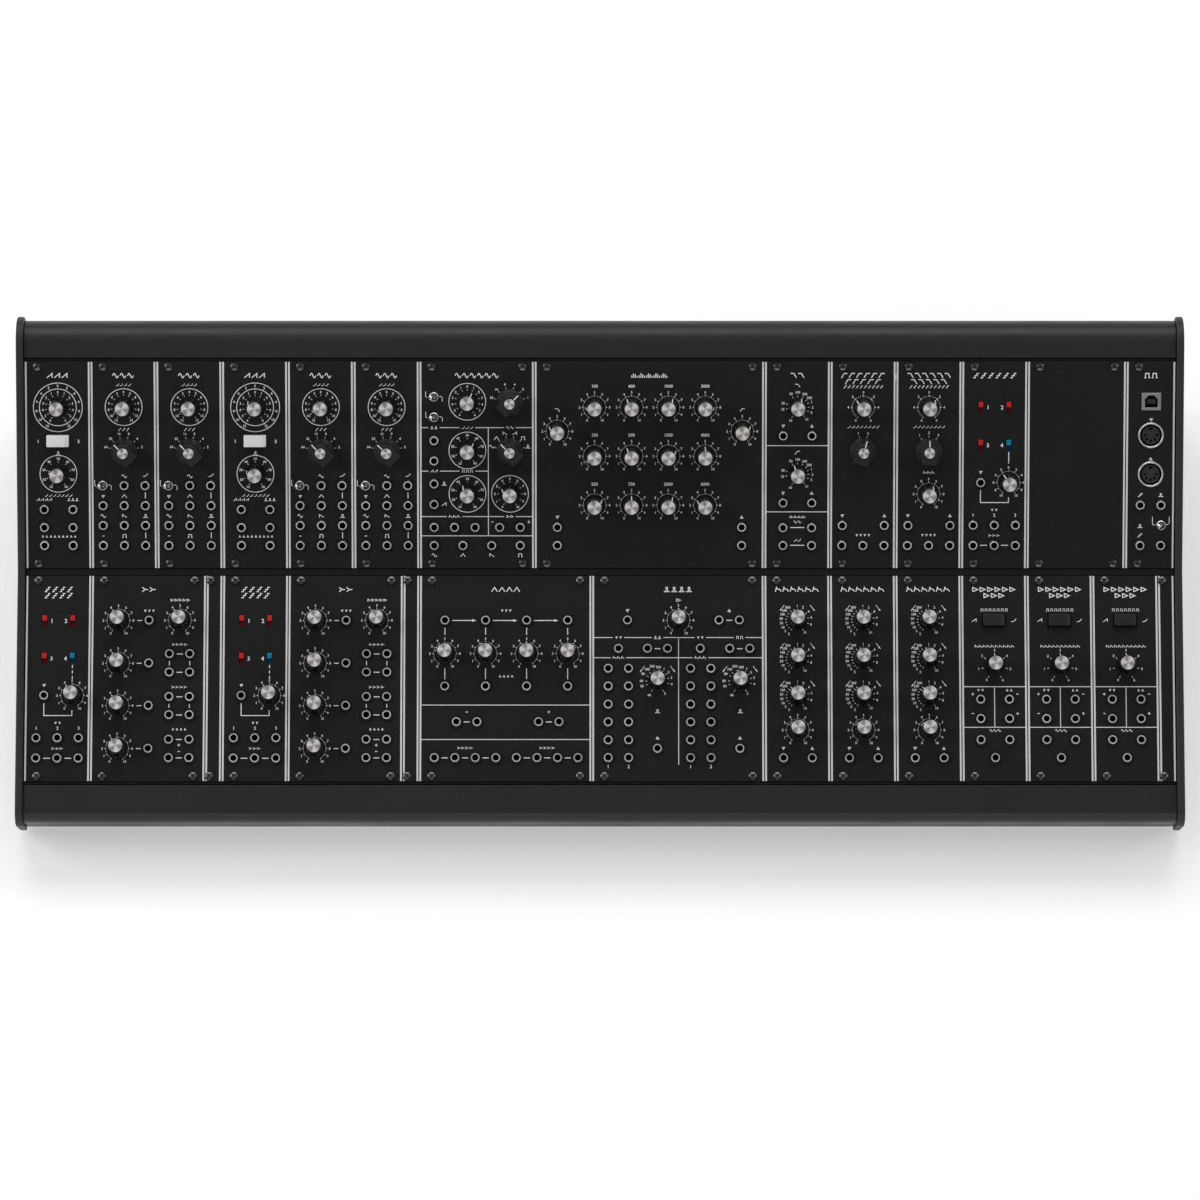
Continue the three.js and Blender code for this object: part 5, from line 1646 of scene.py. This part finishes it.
    def print_dashes(self, start, end):
        along = (end - start).normalized()
        count = round(((end - start).length + DASH_GAP) / (DASH_LENGTH + DASH_GAP))
        for i in range(count):
            first = start + along * i * (DASH_LENGTH + DASH_GAP)
            self.print_stroke([first, first + along * DASH_LENGTH], LINK_WIDTH)


def row_place(joint_name, slots_before, slots, share):
    """From millimetres on a row's panels to metres in the frame, found from a knob that stands on it."""
    joint = next(joint for joint in frame["joints"] if joint["name"] == joint_name)
    across = Vector((1, 0, 0))
    normal = Vector(joint["axis"]).normalized()
    up = normal.cross(across)
    x = (slots_before + share[0] * slots) * SLOT_WIDTH
    y = (1 - share[1]) * PANEL_HEIGHT
    stand = x * across + y * up + KNOB_CLEARANCE * normal
    turn = Matrix((across, up, normal)).transposed().to_4x4()
    start = Vector(joint["pos_m"]) - METRES_PER_MM * stand
    return Matrix.Translation(start) @ turn @ Matrix.Scale(METRES_PER_MM, 4)


def add_row(row, modules):
    left = 0
    for name, kinds, moving in modules:
        Module(row, name, kinds, moving, left)
        left += sum(kind["slots"] for kind in kinds) * SLOT_WIDTH


# Case: the nodes of each finish, which is also their slot

CASE_NODES = {
    "cheek": ("left_cheek", "right_cheek"),
    "case_paint": ("front_cover", "top_cover", "rear_panel"),
    "rail": ("lower_rail", "middle_rail", "upper_rail"),
    "foot": ("foot_front_left", "foot_front_right", "foot_rear_left", "foot_rear_right"),
    "steel": ("base_plate", "power_supply"),
    "board": ("bus_board",),
    "inlet": ("power_inlet",),
}


def add_case_piece(node, finish_name, body="root"):
    """A node's own solid, with its edges broken and its curves smoothed."""
    work = bmesh.new()
    work.from_mesh(frame["nodes"][node].data)
    bmesh.ops.remove_doubles(work, verts=work.verts, dist=WELD_DISTANCE * METRES_PER_MM)
    flat = math.radians(FLAT_DEGREES)
    bmesh.ops.dissolve_limit(work, angle_limit=flat, verts=work.verts, edges=work.edges)
    sharp = math.radians(SHARP_DEGREES)
    corners = [side for side in work.edges if side.is_manifold and side.calc_face_angle() > sharp]
    width = METRES_PER_MM * (CHEEK_EDGE if finish_name == "cheek" else CASE_EDGE)
    bevelled(work, corners, width, CASE_EDGE_STEPS)
    mesh = bpy.data.meshes.new(node)
    work.to_mesh(mesh)
    work.free()
    mesh.materials.append(FINISHES[finish_name])
    smooth(mesh)
    piece = add_piece(node + "_dressed", mesh, body, [node])
    piece.modifiers.new("weighted", "WEIGHTED_NORMAL").keep_sharp = True


def add_case():
    for finish_name, nodes in CASE_NODES.items():
        for node in nodes:
            add_case_piece(node, finish_name)
    add_case_piece("power_rocker", "inlet", "power_rocker")


# The surroundings

CAMERA_TARGET = (0, -0.016, 0.075)
CAMERA_DISTANCE = 4.157
CAMERA_ELEVATION = 67.4
CAMERA_LENS = 201.36
CAMERA_SENSOR = 36
CAMERA_REACH = 60
FLOOR_HALF_WIDTH = 12
FLOOR_COLOUR = (0.9, 0.9, 0.9)
FLOOR_GRAIN = 3
FLOOR_SPREAD = 0.01
FLOOR_ROUGHNESS = 0.9
FLOOR_SPECULAR = 0.1
FLOOR_GLOW = 0.3
WHITE = (1, 1, 1, 1)

# Lamps: place, width and height in metres, and power in watts
LAMPS = {
    "behind": ((0, 1.9, 2.2), 3.2, 1.2, 42),
    "left": ((-2.6, 0.2, 1.9), 1.6, 2.2, 34),
    "right": ((2.6, 0.2, 1.9), 1.6, 2.2, 16),
    "front": ((0, -2.9, 1.2), 3.4, 0.7, 20),
}

HORIZON_STRENGTH = 0.5
ZENITH_STRENGTH = 0.2
HORIZON_REACH = 0.5


def look_along(item, direction):
    item.rotation_euler = direction.to_track_quat("-Z", "Y").to_euler()


def add_camera():
    data = bpy.data.cameras.new("camera")
    data.lens = CAMERA_LENS
    data.sensor_width = CAMERA_SENSOR
    data.clip_end = CAMERA_REACH
    camera = new_object("camera", data)
    angle = math.radians(CAMERA_ELEVATION)
    back = Vector((0, -math.cos(angle), math.sin(angle)))
    camera.location = Vector(CAMERA_TARGET) + back * CAMERA_DISTANCE
    look_along(camera, -back)
    bpy.context.scene.camera = camera


def add_lamps():
    for name, (place, width, height, power) in LAMPS.items():
        data = bpy.data.lights.new(name, "AREA")
        data.shape = "RECTANGLE"
        data.size = width
        data.size_y = height
        data.energy = power
        lamp = new_object(name, data)
        lamp.location = place
        look_along(lamp, -Vector(place))


def add_world():
    """Pale walls under a darker ceiling, so that the sloping black panels don't mirror a white sky."""
    world = bpy.data.worlds.new("studio")
    world.use_nodes = True
    tree = world.node_tree
    place = add_node(tree, "TexCoord", {}, "Generated")
    rise = add_node(tree, "SeparateXYZ", {"Vector": place}, "Z")
    limits = {"From Max": HORIZON_REACH, "To Min": HORIZON_STRENGTH, "To Max": ZENITH_STRENGTH}
    fade = add_node(tree, "MapRange", {**limits, "Value": rise}, interpolation_type="SMOOTHSTEP")
    set_inputs(tree, tree.nodes["Background"], {"Color": WHITE, "Strength": fade})
    bpy.context.scene.world = world


def floor_finish():
    """Pale, and lifted towards white for the camera and for what mirrors it, so that a shadow stays in it."""
    material, tree, shader = new_material("floor")
    place = add_node(tree, "TexCoord", {}, "Object")
    seen = add_node(tree, "LightPath", {}, "Is Camera Ray")
    for ray in ("Is Glossy Ray", "Is Transmission Ray"):
        other = add_node(tree, "LightPath", {}, ray)
        seen = add_node(tree, "Math", {0: seen, 1: other}, operation="MAXIMUM")
    inputs = {
        "Base Color": mottled(tree, noise(tree, place, FLOOR_GRAIN), FLOOR_COLOUR, FLOOR_SPREAD),
        "Roughness": FLOOR_ROUGHNESS,
        "Specular IOR Level": FLOOR_SPECULAR,
        "Emission Color": WHITE,
        "Emission Strength": add_node(tree, "Math", {0: seen, 1: FLOOR_GLOW}, operation="MULTIPLY"),
    }
    set_inputs(tree, shader, inputs)
    return material


def add_floor():
    mesh = bpy.data.meshes.new("floor")
    corners = rectangle(2 * FLOOR_HALF_WIDTH, 2 * FLOOR_HALF_WIDTH)
    mesh.from_pydata([corner.to_3d() for corner in corners], [], [(0, 1, 2, 3)])
    mesh.materials.append(floor_finish())
    floor = new_object("floor", mesh)


bpy.context.scene.view_settings.view_transform = "Standard"
add_camera()
add_case()
add_row(row_place("driver_knob_turn", 0, DRIVER["slots"], DRIVER["knob_shares"][0]), UPPER_ROW)
add_row(
    row_place("mixer_knob_turn", CONTROL_VOLTAGES["slots"], MIXER["slots"], MIXER["knob_shares"][0]),
    LOWER_ROW,
)
add_floor()
add_world()
add_lamps()
